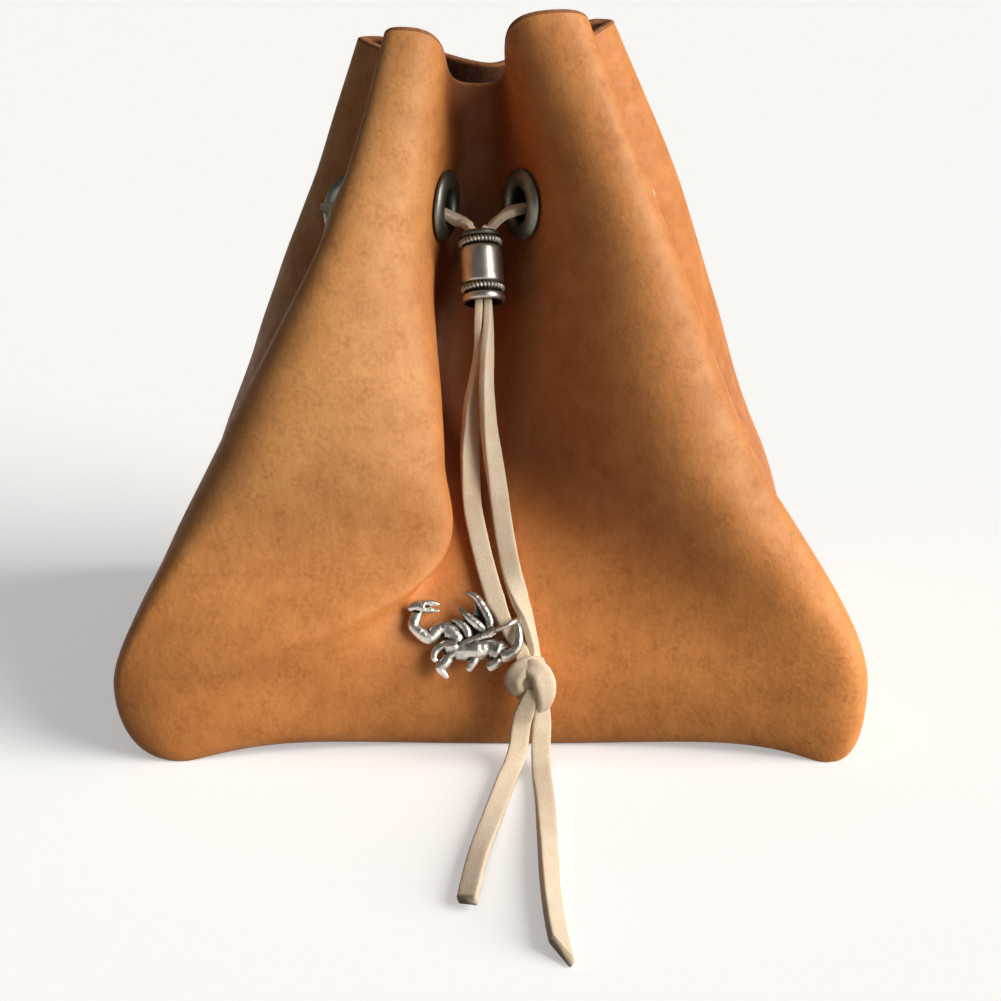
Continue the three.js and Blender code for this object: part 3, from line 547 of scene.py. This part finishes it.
class Nodes:
    """Short ways to add and join nodes of one material."""

    def __init__(self, name):
        self.material = bpy.data.materials.new(name)
        self.material.use_nodes = True
        self.tree = self.material.node_tree
        self.shader = self.tree.nodes["Principled BSDF"]
        self.place = self.add("ShaderNodeTexCoord").outputs["Object"]

    def add(self, kind, **settings):
        node = self.tree.nodes.new(kind)
        for name, value in settings.items():
            setattr(node, name, value)
        return node

    def join(self, source, target):
        if isinstance(source, (int, float, tuple)):
            target.default_value = source
        else:
            self.tree.links.new(source, target)

    def noise(self, size, detail, stretch=None, rough=0.5):
        """Noise with features of about this size in millimetres, from 0 to 1."""
        node = self.add("ShaderNodeTexNoise")
        place = self.place
        if stretch:
            mapping = self.add("ShaderNodeMapping")
            set_inputs(mapping, **stretch)
            self.join(place, mapping.inputs["Vector"])
            place = mapping.outputs["Vector"]
        self.join(place, node.inputs["Vector"])
        set_inputs(node, Scale=1 / (size * MM), Detail=detail, Roughness=rough)
        return node.outputs["Fac"]

    def spread(self, value, low, high, to_low=0.0, to_high=1.0):
        """Value stretched from one range to another and held there."""
        node = self.add("ShaderNodeMapRange")
        self.join(value, node.inputs["Value"])
        set_inputs(node, From_Min=low, From_Max=high, To_Min=to_low, To_Max=to_high)
        return node.outputs["Result"]

    def marks(self, size, detail, low=0.3, high=0.7, rough=0.5):
        """Noise that is 0 up to its low value and 1 from its high value on."""
        return self.spread(self.noise(size, detail, rough=rough), low, high)

    def blend(self, share, a, b):
        node = self.add("ShaderNodeMix", data_type="RGBA")
        self.join(share, node.inputs["Factor"])
        self.join(a, node.inputs[6])
        self.join(b, node.inputs[7])
        return node.outputs[2]

    def tint(self, colour, mask, weight, other):
        """Colour with another one over it where the mask is, as strong as the weight."""
        node = self.add("ShaderNodeMath", operation="MULTIPLY")
        self.join(mask, node.inputs[0])
        self.join(weight, node.inputs[1])
        return self.blend(node.outputs[0], colour, other)

    def painted(self, name):
        return self.add("ShaderNodeAttribute", attribute_name=name).outputs["Fac"]

    def bump(self, heights):
        """Bumps one on another: pairs of height and depth in millimetres."""
        normal = None
        for height, depth in heights:
            node = self.add("ShaderNodeBump")
            set_inputs(node, Strength=1, Distance=depth * MM)
            self.join(height, node.inputs["Height"])
            if normal:
                self.join(normal, node.inputs["Normal"])
            normal = node.outputs["Normal"]
        self.join(normal, self.shader.inputs["Normal"])

    def set(self, **values):
        for name, value in values.items():
            self.join(value, self.shader.inputs[name.replace("_", " ")])


def leather_material():
    # the leather's colour holds painted light and shade besides its own markings
    nodes = Nodes("oiled_leather_with_painted_light")
    masks = {name: nodes.marks(*row) for name, row in LEATHER_MARKS.items()}
    mottle = masks["mottle"]
    colour = nodes.blend(masks["patches"], LEATHER_DEEP, LEATHER_LIGHT)
    for name, weight, other in LEATHER_TINTS:
        mask = masks[name] if name in masks else nodes.painted(name)
        colour = nodes.tint(colour, mask, weight, other)
    colour = nodes.tint(colour, masks["specks"], nodes.spread(mottle, 0, 1, 0.5, 0.1), LEATHER_SPECK)
    grain = nodes.noise(0.8, 3, rough=0.6)
    creases = nodes.noise(2.4, 3, {"Scale": (1, 1, 0.6), "Rotation": (0.2, 0.5, 0.3)})
    nodes.set(Base_Color=colour, Roughness=nodes.spread(mottle, 0, 1, 0.6, 0.48), Specular_IOR_Level=0.35)
    nodes.bump([(grain, 0.07), (creases, 0.12)])
    return nodes.material


def cut_edge_material():
    nodes = Nodes("leather_cut_edge")
    fibres = nodes.marks(0.8, 3)
    nodes.set(Base_Color=nodes.blend(fibres, EDGE_DARK, EDGE_LIGHT), Roughness=0.8)
    nodes.bump([(nodes.noise(0.5, 2), 0.08)])
    return nodes.material


def flesh_side_material():
    nodes = Nodes("leather_flesh_side_in_painted_shade")
    nap = nodes.marks(1.4, 4)
    # painted shade: the flesh side coloured as dark as it looks in the shade inside the bag
    nodes.set(Base_Color=nodes.blend(nap, FLESH_PAINTED_SHADE_DARK, FLESH_PAINTED_SHADE_LIGHT), Roughness=0.9)
    nodes.bump([(nodes.noise(0.6, 3), 0.12)])
    return nodes.material


def thong_material():
    nodes = Nodes("suede_thong")
    broad = nodes.marks(4, 3)
    fibres = nodes.marks(0.5, 4, rough=0.65)
    colour = nodes.blend(broad, THONG_DARK, THONG_LIGHT)
    colour = nodes.tint(colour, fibres, 0.35, THONG_FIBRE)
    nodes.set(Base_Color=colour, Roughness=0.9, Specular_IOR_Level=0.15)
    nodes.set(Sheen_Weight=0.25, Sheen_Roughness=0.6)
    nodes.bump([(nodes.noise(0.45, 4, rough=0.65), 0.09)])
    return nodes.material


def metal_material(name, bright, dark, shine, stain=0.35, relief=0.02):
    """Old metal, bright where it is worn and dark in its recesses. shine is its roughness where it is
    bright, stain the strength of its stains and relief the depth of its skin."""
    nodes = Nodes(name)
    recess = nodes.painted("recess")
    stains = nodes.marks(1.6, 3, 0.45, 0.75)
    worn = nodes.tint(bright, stains, stain, dark)
    roughness = nodes.spread(recess, 0, 1, shine, DULL_METAL)
    nodes.set(Base_Color=nodes.blend(recess, worn, dark), Metallic=1.0, Roughness=roughness)
    nodes.bump([(nodes.noise(0.8, 3), relief)])
    return nodes.material


LEATHER = leather_material()
CUT_EDGE = cut_edge_material()
FLESH_SIDE = flesh_side_material()
THONG = thong_material()
SILVER = metal_material("antique_silver", SILVER_BRIGHT, SILVER_DARK, 0.36)
CHARM_SILVER = metal_material("charm_silver", CHARM_BRIGHT, CHARM_DARK, 0.34, stain=0.7, relief=0.16)
GUNMETAL = metal_material("gunmetal", GUNMETAL_BRIGHT, GUNMETAL_DARK, 0.42)


# Leather bag
DENT_SIZES = [(24, 0.4), (9, 0.12)]  # size and depth of the leather's soft unevenness
TOE_LIFT = 1.4
TOE_LIFT_SPAN = (0.4, 0.85)  # shares of a front flank where the lift is whole and where it has ended
LEATHER_KIND, EDGE_KIND, FLESH_KIND = range(3)  # the order of the bag's materials

# Where the leather's painted colours come in, painted light and shade among them: shares of a flank, sides
# and depth
# the crests' pull-up and painted highlight, weaker on the right
CREST_SHARES = (0.4, 0.95)
CREST_SIDES = (-10, 10)
CREST_ON_THE_RIGHT = 0.45
# the valleys' painted shade
VALLEY_SHADE_SHARES = (0.35, 0.85)
VALLEY_SHADE_BESIDE_THE_FRONT = 0.5
# the low front's painted light
LOW_LIGHT_SIDES = (0, 40)
LOW_LIGHT_ON_THE_LEFT = 0.5
LOW_LIGHT_DEPTHS = (10, 35)


def unevenness(points):
    """Soft dents of the leather, flat round the eyelets and on the floor."""
    depth = np.zeros(len(points))
    for size, height in DENT_SIZES:
        depth += height * np.array([noise.noise(Vector(p / size)) for p in points])
    for centre, _ in SEATS.values():
        away = np.linalg.norm(points - centre, axis=1)
        depth *= ramp(away, PRESS_FLAT, PRESS_BLEND)
    return depth * smooth_step(points[:, 2] / BELLY_Z)


def toe_lift(along):
    """How far the sole's edge is off the floor between the front valley and each toe."""
    from_valley = np.minimum(along, FLANKS - along)
    whole, ended = TOE_LIFT_SPAN
    return TOE_LIFT * ramp(from_valley, 0, whole) * (1 - ramp(from_valley, whole, ended))


def bag_rows():
    """Levels and columns of the leather's grid, and its points on the outer and the inner skin."""
    columns = FLANKS * COLUMNS_PER_FLANK
    along = np.arange(columns) / COLUMNS_PER_FLANK
    foot = np.linspace(-1, 0, FOOT_ROWS + 1)[:-1]
    levels = np.concatenate([foot, np.linspace(0, WALL_TOP, WALL_ROWS), [1]])
    grid_along, grid_level = np.meshgrid(along, levels)
    flat_along = grid_along.ravel()
    flat_level = grid_level.ravel()
    outer = outer_points(flat_along, flat_level)
    normals = surface_normals(outer_points, flat_along, flat_level)
    inner = outer - WALL * normals
    below = flat_level <= 0
    round_step = unit(outer_points(flat_along + SMALL_STEP, flat_level)
                      - outer_points(flat_along - SMALL_STEP, flat_level))
    low = outer[below]
    inner[below] = np.column_stack([
        low[:, 0] - WALL * round_step[below, 1],
        low[:, 1] + WALL * round_step[below, 0],
        mix(WALL, BELLY_Z, low[:, 2] / BELLY_Z)])
    shift = normals * unevenness(outer)[:, None]
    shift[:, 2] += toe_lift(flat_along) * smooth_step(-flat_level)
    shape = (len(levels), columns, 3)
    return levels, along, (outer + shift).reshape(shape), (inner + shift).reshape(shape)


def rim_rows(outer, inner, below):
    """Rings over the cut edge, its two corners rounded."""
    inwards = unit(inner - outer)
    up = unit(outer - below)
    rows = []
    for skin, way, arc in ((outer, inwards, RIM_ARC), (inner, -inwards, RIM_ARC[::-1])):
        for angle in np.radians(arc):
            drop = up * RIM_ROUND * (1 - math.sin(angle))
            rows.append(skin + way * RIM_ROUND * (1 - math.cos(angle)) - drop)
    return rows


def bottom_rings(edge, middle_z):
    """Rings of the bottom, from its middle's height out to its edge."""
    rings = []
    for share in SOLE_RINGS:
        ring = edge * [share, share, 1]
        ring[:, 2] = mix(middle_z, ring[:, 2], smooth_step(share))
        rings.append(ring)
    return rings


def eyelet_holes(skin):
    """Cells of the skin that the eyelets' holes take away."""
    beside = np.roll(skin, -1, 1)
    cells = (skin[:-1] + skin[1:] + beside[:-1] + beside[1:]) / 4
    holes = np.zeros(cells.shape[:2], bool)
    for centre, normal in SEATS.values():
        height, _, radius = from_seat(cells, centre, normal)
        holes |= (radius < HOLE_RADIUS) & (abs(height) < WALL)
    return holes


def hole_walls(holes, outer_at, inner_at):
    """Faces through the leather round each hole."""
    columns = holes.shape[1]
    faces = []
    for r, c in np.argwhere(holes):
        corners = [(r, c), (r, c + 1), (r + 1, c + 1), (r + 1, c)]
        beyond = [(r - 1, c), (r, c + 1), (r + 1, c), (r, c - 1)]
        for k, (row, column) in enumerate(beyond):
            if not holes[row, column % columns]:
                a = corners[k]
                b = corners[(k + 1) % 4]
                faces.append((outer_at(*a), outer_at(*b), inner_at(*b), inner_at(*a)))
    return faces


def painted_places(vertices, around):
    """How much each vertex belongs to the crests' pull-up and painted highlight, the valleys' painted shade
    and the low front's painted light, from 0 to 1.
    """
    x, y, height = vertices.T
    to_ridge = 1 - abs(around % 2 - 1)
    in_front_valley = np.minimum(around, FLANKS - around) < 1
    # pull-up lightening and painted highlight on the crests, growing up to the waist
    crest_pull_up_and_highlight = ramp(to_ridge, *CREST_SHARES) * ramp(height, 0, WAIST_Z)
    # painted shade in the valleys, from the hip up, whole above the waist
    painted_valley_shade = ramp(1 - to_ridge, *VALLEY_SHADE_SHARES) * ramp(height, HIP_Z, WAIST_Z)
    # painted light on the low front, whole low down towards the front, gone by the waist
    painted_low_front_light = (1 - ramp(height, WAIST_Z - HIP_Z, WAIST_Z)) * ramp(-y, *LOW_LIGHT_DEPTHS)
    return {
        "crest_pull_up_and_highlight": crest_pull_up_and_highlight * mix(1, CREST_ON_THE_RIGHT, ramp(x, *CREST_SIDES)),
        "painted_valley_shade": painted_valley_shade * mix(VALLEY_SHADE_BESIDE_THE_FRONT, 1, in_front_valley),
        "painted_low_front_light": painted_low_front_light * mix(LOW_LIGHT_ON_THE_LEFT, 1, ramp(x, *LOW_LIGHT_SIDES)),
    }


def leather_bag():
    levels, along, outer, inner = bag_rows()
    columns = len(along)
    top = len(levels) - 1
    sole = bottom_rings(outer[0], 0)
    inner_sole = bottom_rings(inner[0], WALL)
    rim = rim_rows(outer[top], inner[top], outer[top - 1])
    rows = sole + list(outer[:top]) + rim + list(inner[:top][::-1]) + inner_sole[::-1]
    first_outer = len(sole)
    first_inner = first_outer + top + len(rim)
    holes = eyelet_holes(outer[:top])

    def outer_at(r, c):
        return (first_outer + r) * columns + c % columns

    def inner_at(r, c):
        return (first_inner + top - 1 - r) * columns + c % columns

    cells = ring_faces(len(rows), columns)
    faces = []
    kinds = []
    for r in range(len(rows) - 1):
        on_outer = r - first_outer
        on_inner = first_inner + top - 2 - r
        skin_row = on_outer if 0 <= on_outer < top - 1 else on_inner
        pierced = holes[skin_row] if 0 <= skin_row < top - 1 else np.zeros(columns, bool)
        kind = LEATHER_KIND if r < first_outer + top - 1 else EDGE_KIND if r < first_inner else FLESH_KIND
        whole = [cells[r * columns + c] for c in range(columns) if not pierced[c]]
        faces += whole
        kinds += [kind] * len(whole)
    walls = hole_walls(holes, outer_at, inner_at)
    faces += walls
    kinds += [EDGE_KIND] * len(walls)
    vertices = round_holes(np.vstack(rows), faces, kinds)
    faces += end_fans(columns, len(vertices))
    kinds += [LEATHER_KIND, FLESH_KIND] * columns
    vertices = np.vstack([vertices, [0, 0, 0], [0, 0, WALL]])
    around = np.concatenate([np.tile(along, len(rows)), [0, 0]])
    used = np.unique(np.concatenate([np.asarray(face) for face in faces]))
    new_number = np.full(len(vertices), -1)
    new_number[used] = np.arange(len(used))
    faces = [tuple(int(new_number[v]) for v in face) for face in faces]
    bag = new_object("leather_bag", vertices[used], faces, [LEATHER, CUT_EDGE, FLESH_SIDE])
    bag.data.polygons.foreach_set("material_index", kinds)
    for name, values in painted_places(vertices, around).items():
        paint(bag, name, values[used])
    return bag


def round_holes(vertices, faces, kinds):
    """Moves the edges of the eyelet holes on to circles."""
    vertices = vertices.copy()
    edges = {v for face, kind in zip(faces, kinds) if kind == EDGE_KIND for v in face}
    edges = np.array(sorted(edges))
    for centre, normal in SEATS.values():
        height, flat, radius = from_seat(vertices[edges], centre, normal)
        near = (radius < 2 * HOLE_RADIUS) & (abs(height + WALL / 2) < 2 * WALL)
        rounded = centre + height[near, None] * normal + unit(flat[near]) * HOLE_RADIUS
        vertices[edges[near]] = rounded
    return vertices


# Eyelets
EYELET_SIDES = 64
EYELET_PROFILE = [  # [radius, height above the leather], the dome, the barrel and the back ring
    [3.4, 0.3], [5.6, 0.3], [5.9, 0.36], [6, 0.55], [5.9, 0.85], [5.6, 1.15], [5.15, 1.42], [4.65, 1.58],
    [4.1, 1.6], [3.6, 1.48], [3.2, 1.22], [2.92, 0.85], [2.8, 0.4], [2.8, -0.5], [2.8, -1.6], [2.85, -2.5],
    [3.1, -2.8], [3.6, -2.92], [4.4, -2.92], [4.9, -2.8], [5.15, -2.55], [5.15, -2.3], [4.9, -2.12],
    [3.4, -2.1], [3.4, -1],
]
EYELET_BRIGHT_HEIGHT = 0.6  # the metal darkens from here down to the leather
EYELET_DARK_RADII = (2.8, 3.1)


def eyelet(name):
    centre, normal = SEATS[name]
    vertices, faces = lathe(EYELET_PROFILE, EYELET_SIDES)
    piece = new_object("ring_" + name, standing(vertices, centre, normal), faces, [GUNMETAL])
    radius = np.hypot(vertices[:, 0], vertices[:, 1])
    bright = np.minimum(ramp(vertices[:, 2], 0, EYELET_BRIGHT_HEIGHT), ramp(radius, *EYELET_DARK_RADII))
    paint(piece, "recess", 1 - bright)
    return piece


# Bead: a barrel between two rope bands and two plain rings
BEAD_SIDES = 96
BEAD_PROFILE = [  # [radius, height]
    [2.5, 5.4], [2.7, 5.8], [3, 5.95], [3.25, 5.9], [3.42, 5.7], [3.45, 5.45], [3.35, 5.15], [3.1, 5],
    [2.95, 4.8], [2.9, 4.3], [2.95, 3.8], [3.1, 3.5], [3.3, 3.3], [3.45, 3.1], [3.52, 2.8], [3.52, 1.5],
    [3.5, 0], [3.52, -1.5], [3.54, -2.3], [3.48, -2.6], [3.3, -2.8], [3.05, -2.95], [2.95, -3.2],
    [2.92, -3.55], [2.95, -3.9], [3, -4.2], [3.05, -4.4], [3.2, -4.55], [3.5, -4.7], [3.62, -4.95],
    [3.64, -5.3], [3.58, -5.65], [3.4, -5.87], [3.1, -5.95], [2.7, -5.85], [2.5, -5.5], [2.5, 0],
]
BEAD_DARK_RADII = (3.2, 3.45)
BEAD_TOP_RING = 5  # above this height the metal is dark
BEAD_TOP_DARK = 0.8
ROPE_HEIGHTS = [4.3, -3.55]
ROPE_RADIUS = 3.12
ROPE_WIRE = 0.5
ROPE_TWISTS = 34
ROPE_RELIEF = 0.14
ROPE_STRAND = (1.6, 0.9)  # height of a twist's strand over its grooves, and their depth, in reliefs
ROPE_SIDES = (340, 14)


def rope_band(height):
    """Twisted wire round the bead."""
    around, across = ROPE_SIDES
    strand, groove = ROPE_STRAND
    turn, roll = np.meshgrid(round_angles(around), round_angles(across), indexing="ij")
    twist = np.abs(np.cos(0.5 * (ROPE_TWISTS * turn + roll)))
    wire = ROPE_WIRE + ROPE_RELIEF * (twist * strand - groove)
    out = ROPE_RADIUS + wire * np.cos(roll)
    points = np.stack([out * np.cos(turn), out * np.sin(turn), height + wire * np.sin(roll)], axis=-1)
    faces = [(face[0], *face[:0:-1]) for face in ring_faces(around, across, closed=True)]
    recess = 1 - (wire - wire.min()) / np.ptp(wire)
    return points.reshape(-1, 3), faces, recess.ravel()


def bead_turn():
    """Matrix that leans the bead to the back and tips it to the left."""
    lean = Matrix.Rotation(math.radians(-BEAD_LEAN), 3, "X")
    return np.array(lean @ Matrix.Rotation(math.radians(-BEAD_TIP), 3, "Y"))


def bead_point(up, side):
    """Place on one of the two strands in the bead's bore, so far up from the bead's middle."""
    return list(bead_turn() @ [side * STRAND_STEP, 0, up] + BEAD_AT)


def bead():
    vertices, faces = lathe(BEAD_PROFILE, BEAD_SIDES)
    radius = np.hypot(vertices[:, 0], vertices[:, 1])
    dark_top = BEAD_TOP_DARK * (vertices[:, 2] > BEAD_TOP_RING)
    recess = np.maximum(1 - ramp(radius, *BEAD_DARK_RADII), dark_top)
    parts = [(vertices, faces, recess)] + [rope_band(height) for height in ROPE_HEIGHTS]
    parts = [(points @ bead_turn().T, part_faces, values) for points, part_faces, values in parts]
    return joined("barrel_bead", parts, np.asarray(BEAD_AT), SILVER)


def joined(name, parts, place, material):
    """One object from parts of vertices, faces and recess values."""
    vertices = []
    faces = []
    recess = []
    for part_vertices, part_faces, part_recess in parts:
        first = sum(len(v) for v in vertices)
        vertices.append(part_vertices)
        recess.append(part_recess)
        faces += [tuple(v + first for v in face) for face in part_faces]
    piece = new_object(name, np.vstack(vertices) + place, faces, [material])
    paint(piece, "recess", np.concatenate(recess))
    return piece


# Thong round the neck, strands and tails
def neck_route():
    """Rows through the bead and the eyelets, and the way that the broad face looks at each: level at the
    eyelets and sideways in the bead."""
    ways = [(GAP / 2, 1), (BEAD_LENGTH / 2, 1), (BEAD_LENGTH / 2 + NECK_OVER_BEAD, NECK_SPREAD)]
    rows = [bead_point(up, -side) for up, side in ways]
    for i, name in enumerate(NECK_ORDER):
        centre, normal = SEATS[name]
        reach = [(NECK_OUTSIDE, NECK_FRONT_DROPS.get(name, NECK_DROP)), (-WALL - NECK_INSIDE, NECK_DROP)]
        for distance, drop in reach if i % 2 == 0 else reach[::-1]:
            rows.append(list(centre + normal * distance - [0, 0, drop]))
    rows += [bead_point(up, side) for up, side in reversed(ways)]
    in_bead = len(ways)
    faces = [[1, 0, 0]] * in_bead + [[0, 0, 1]] * (len(rows) - 2 * in_bead) + [[-1, 0, 0]] * in_bead
    return rows, faces


def strand_route(rows, side):
    """A strand's rows, with those in the bead before them."""
    return [bead_point(up, side) + [BEAD_TURN] for up in (-GAP / 2, -BEAD_LENGTH / 2)] + rows


# Knot
KNOT_STEPS = 72
KNOT_SIDES = (48, 24)
KNOT_ROUGH = 0.12
KNOT_ROUGH_RATE = 2.2  # waves of the core's lumps in its radius
KNOT_POLE = 0.02  # how near to its poles the core's rings go, in radians
KNOT_ROUND = 0.48  # corner radius of the bands, as a share of their thickness


def knot_band(name, rows):
    """One band of the knot, its broad face away from the knot's middle."""
    t = np.linspace(0, 1, KNOT_STEPS)
    right, forward, up = curve_points([row[:3] for row in rows], t).T
    local = np.column_stack([right, -forward, up])
    widths = table_column(rows, 3, 0, t)
    thicknesses = table_column(rows, 4, 0, t)
    return sweep("knot_" + name, local + KNOT_AT, local * KNOT_FACING, widths, thicknesses,
                 round_share=KNOT_ROUND)


def knot_core():
    """Rounded lump of thong under the two bands."""
    around, up_steps = KNOT_SIDES
    angles = np.linspace(KNOT_POLE, math.pi - KNOT_POLE, up_steps)
    vertices, faces = lathe([[math.sin(a), -math.cos(a)] for a in angles], around, closed=False)
    rough = np.array([noise.noise(Vector(v * KNOT_ROUGH_RATE)) for v in vertices])
    faces += end_faces(around, len(vertices))
    lumps = vertices * KNOT_CORE * (1 + KNOT_ROUGH * rough[:, None])
    return new_object("knot_core", lumps + KNOT_AT, faces, [THONG])


# Charm
CHARM_VOXEL = 0.1
CHARM_SWELL = 1.36  # the limbs' radii, before the smoothing takes some away
CHARM_SOFTENING = (0.5, 7)  # strength and rounds of smoothing
HOLLOW_ROUNDS = 40
HOLLOW_DEPTH = 0.08
HOLLOW_START = 0.3
HOOP_SIDES = 48
TUBE_UP = (0.12, 0.05, 1)  # no limb runs this way
TUBE_SIDES = 14
TUBE_STEPS = 8  # to each stretch between two points


def tube(rows):
    """Round tapering limb with rounded ends."""
    rows = np.asarray(rows, float)
    t = np.linspace(0, 1, TUBE_STEPS * (len(rows) - 1) + 1)
    points = curve_points(rows[:, :3], t)
    radii = table_column(rows, 3, 0, t)
    tangents = unit(np.gradient(points, axis=0))
    side = unit(np.cross(tangents, TUBE_UP))
    other = np.cross(tangents, side)
    angles = round_angles(TUBE_SIDES)
    circle = np.cos(angles)[None, :, None] * side[:, None] + np.sin(angles)[None, :, None] * other[:, None]
    rings = (points[:, None] + radii[:, None, None] * circle).reshape(-1, 3)
    start = points[:1] - tangents[0] * radii[0] / 2
    end = points[-1:] + tangents[-1] * radii[-1] / 2
    faces = ring_faces(len(points), TUBE_SIDES) + end_fans(TUBE_SIDES, len(rings))
    return np.vstack([rings, start, end]), faces


def plate(outline, thickness):
    """Flat plate with this outline, about z 0."""
    count = len(outline)
    flat = np.asarray(outline, float)
    vertices = np.vstack([
        np.column_stack([flat, np.full(count, -thickness / 2)]),
        np.column_stack([flat, np.full(count, thickness / 2)])])
    return vertices, ring_faces(2, count) + end_faces(count, 2 * count)


def hoop(at, axis, radius, wire):
    """Ring of round wire about an axis."""
    angles = round_angles(TUBE_SIDES)
    profile = np.column_stack([radius + wire * np.cos(angles), wire * np.sin(angles)])
    vertices, faces = lathe(profile, HOOP_SIDES)
    return standing(vertices, at, axis), faces


def charm():
    parts = [tube(np.asarray(rows) * [1, 1, 1, CHARM_SWELL]) for rows in CHARM_LIMBS.values()]
    web, web_faces = plate(CHARM_WEB, CHARM_WEB_THICKNESS)
    parts.append((web - [0, 0, CHARM_WEB_BACK], web_faces))
    parts.append(hoop(**CHARM_RING))
    lean = math.radians(90 - CHARM_LEAN)
    turn = np.array([[1, 0, 0], [0, math.cos(lean), -math.sin(lean)], [0, math.sin(lean), math.cos(lean)]])
    parts = [(vertices @ turn.T, faces, np.zeros(len(vertices))) for vertices, faces in parts]
    piece = joined("dragon", parts, np.asarray(CHARM_AT), CHARM_SILVER)
    remesh = piece.modifiers.new("fuse", "REMESH")
    remesh.mode = "VOXEL"
    remesh.voxel_size = CHARM_VOXEL * MM
    smooth = piece.modifiers.new("soften", "SMOOTH")
    smooth.factor, smooth.iterations = CHARM_SOFTENING
    bake_modifiers(piece)
    paint(piece, "recess", hollows(piece))
    return piece


def bake_modifiers(piece):
    """Keeps the shape that the modifiers give."""
    view = bpy.context.evaluated_depsgraph_get()
    mesh = bpy.data.meshes.new_from_object(piece.evaluated_get(view))
    piece.modifiers.clear()
    piece.data = mesh
    mesh.polygons.foreach_set("use_smooth", [True] * len(mesh.polygons))


def mesh_values(items, field, width, kind=float):
    """Rows of one field of a mesh's vertices or edges."""
    values = np.empty(len(items) * width, kind)
    items.foreach_get(field, values)
    return values.reshape(-1, width)


def hollows(piece):
    """How far each vertex lies inside the smoothed surface, from 0 to 1."""
    mesh = piece.data
    places = mesh_values(mesh.vertices, "co", 3) / MM
    normals = mesh_values(mesh.vertices, "normal", 3)
    a, b = mesh_values(mesh.edges, "vertices", 2, int).T
    count = np.bincount(np.concatenate([a, b]), minlength=len(places))[:, None]
    soft = places.copy()
    for _ in range(HOLLOW_ROUNDS):
        total = np.zeros_like(soft)
        np.add.at(total, a, soft[b])
        np.add.at(total, b, soft[a])
        soft = total / count
    inside = np.sum((soft - places) * normals, axis=1)
    return smooth_step(inside / HOLLOW_DEPTH + HOLLOW_START)


# Assembly
def add_piece(piece, node=None):
    """Fastens a piece to the one body, in the place of its solid if it has one."""
    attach(piece, "root")
    if node:
        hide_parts(node)


bag = leather_bag()
add_piece(bag, "pouch_body")
for name in EYELETS:
    add_piece(eyelet(name), "eyelet_" + name)
add_piece(bead(), "bead")
neck_rows, neck_faces = neck_route()
neck, _, _ = thong("thong_neck", neck_rows, faces=neck_faces)
add_piece(neck, "drawstring_neck")
SIDES = {"strand_left": -1, "strand_right": 1}
for name, rows in ROUTES.items():
    route = strand_route(rows, SIDES[name]) if name in SIDES else rows
    piece, path, length = thong("thong_" + name, route, END_CUTS.get(name, 0))
    add_piece(piece, name)
add_piece(knot_core(), "knot")
for name, rows in KNOT_BANDS.items():
    add_piece(knot_band(name, rows))
add_piece(charm(), "dragon_charm")

# Floor, light and camera
FLOOR_HALF = 6000
FLOOR_COLOUR = (0.93, 0.93, 0.93, 1)
FLOOR_GLOW = 0.36
LAMP_COLOUR = (1, 0.97, 0.92)
SUNS = {  # strength, width in degrees, and the way to the lamp
    "key": (3.8, 50, (0.85, -0.33, 0.41)),
    "fill": (1, 40, (0.7, -0.7, -0.05)),
}
SKY_COLOUR = (1, 0.99, 0.97, 1)
SKY_STRENGTH = 0.13
GROUND_STRENGTH = 0.03
SKY_FADE = 0.3  # how far above and below level the sky fades into the ground


def floor():
    corners = [[-1, -1, 0], [1, -1, 0], [1, 1, 0], [-1, 1, 0]]
    nodes = Nodes("floor")
    nodes.set(Base_Color=FLOOR_COLOUR, Roughness=0.9)
    nodes.set(Emission_Color=(1, 1, 1, 1), Emission_Strength=FLOOR_GLOW)
    ground = new_object("floor", np.array(corners) * FLOOR_HALF, [(0, 1, 2, 3)], [nodes.material])
    ground.visible_diffuse = False  # it throws no light back on the leather


def sun(name, strength, width, way):
    """Broad lamp far away."""
    light = bpy.data.lights.new(name, "SUN")
    light.energy = strength
    light.angle = math.radians(width)
    light.color = LAMP_COLOUR
    lamp = bpy.data.objects.new(name, light)
    lamp.rotation_euler = Vector(way).to_track_quat("Z", "Y").to_euler()
    bpy.context.collection.objects.link(lamp)


def sky():
    """Dim even light, darker from below."""
    world = bpy.data.worlds.new("studio")
    world.use_nodes = True
    tree = world.node_tree
    background = tree.nodes["Background"]
    set_inputs(background, Color=SKY_COLOUR)
    direction = tree.nodes.new("ShaderNodeSeparateXYZ")
    fade = tree.nodes.new("ShaderNodeMapRange")
    set_inputs(fade, From_Min=-SKY_FADE, From_Max=SKY_FADE, To_Min=GROUND_STRENGTH, To_Max=SKY_STRENGTH)
    tree.links.new(tree.nodes.new("ShaderNodeTexCoord").outputs["Generated"], direction.inputs["Vector"])
    tree.links.new(direction.outputs["Z"], fade.inputs["Value"])
    tree.links.new(fade.outputs["Result"], background.inputs["Strength"])
    bpy.context.scene.world = world
    bpy.context.scene.view_settings.view_transform = "Standard"


def camera():
    data = bpy.data.cameras.new("camera")
    data.sensor_width = SENSOR
    data.lens = SENSOR * FOCAL_PIXELS / IMAGE_PIXELS
    data.clip_start, data.clip_end = CLIP_RANGE
    eye = bpy.data.objects.new("camera", data)
    eye.location = Vector(CAMERA_AT) * MM
    eye.rotation_euler = (math.radians(90 - CAMERA_PITCH), 0, 0)
    bpy.context.collection.objects.link(eye)
    bpy.context.scene.camera = eye


floor()
for name, settings in SUNS.items():
    sun(name, *settings)
sky()
camera()
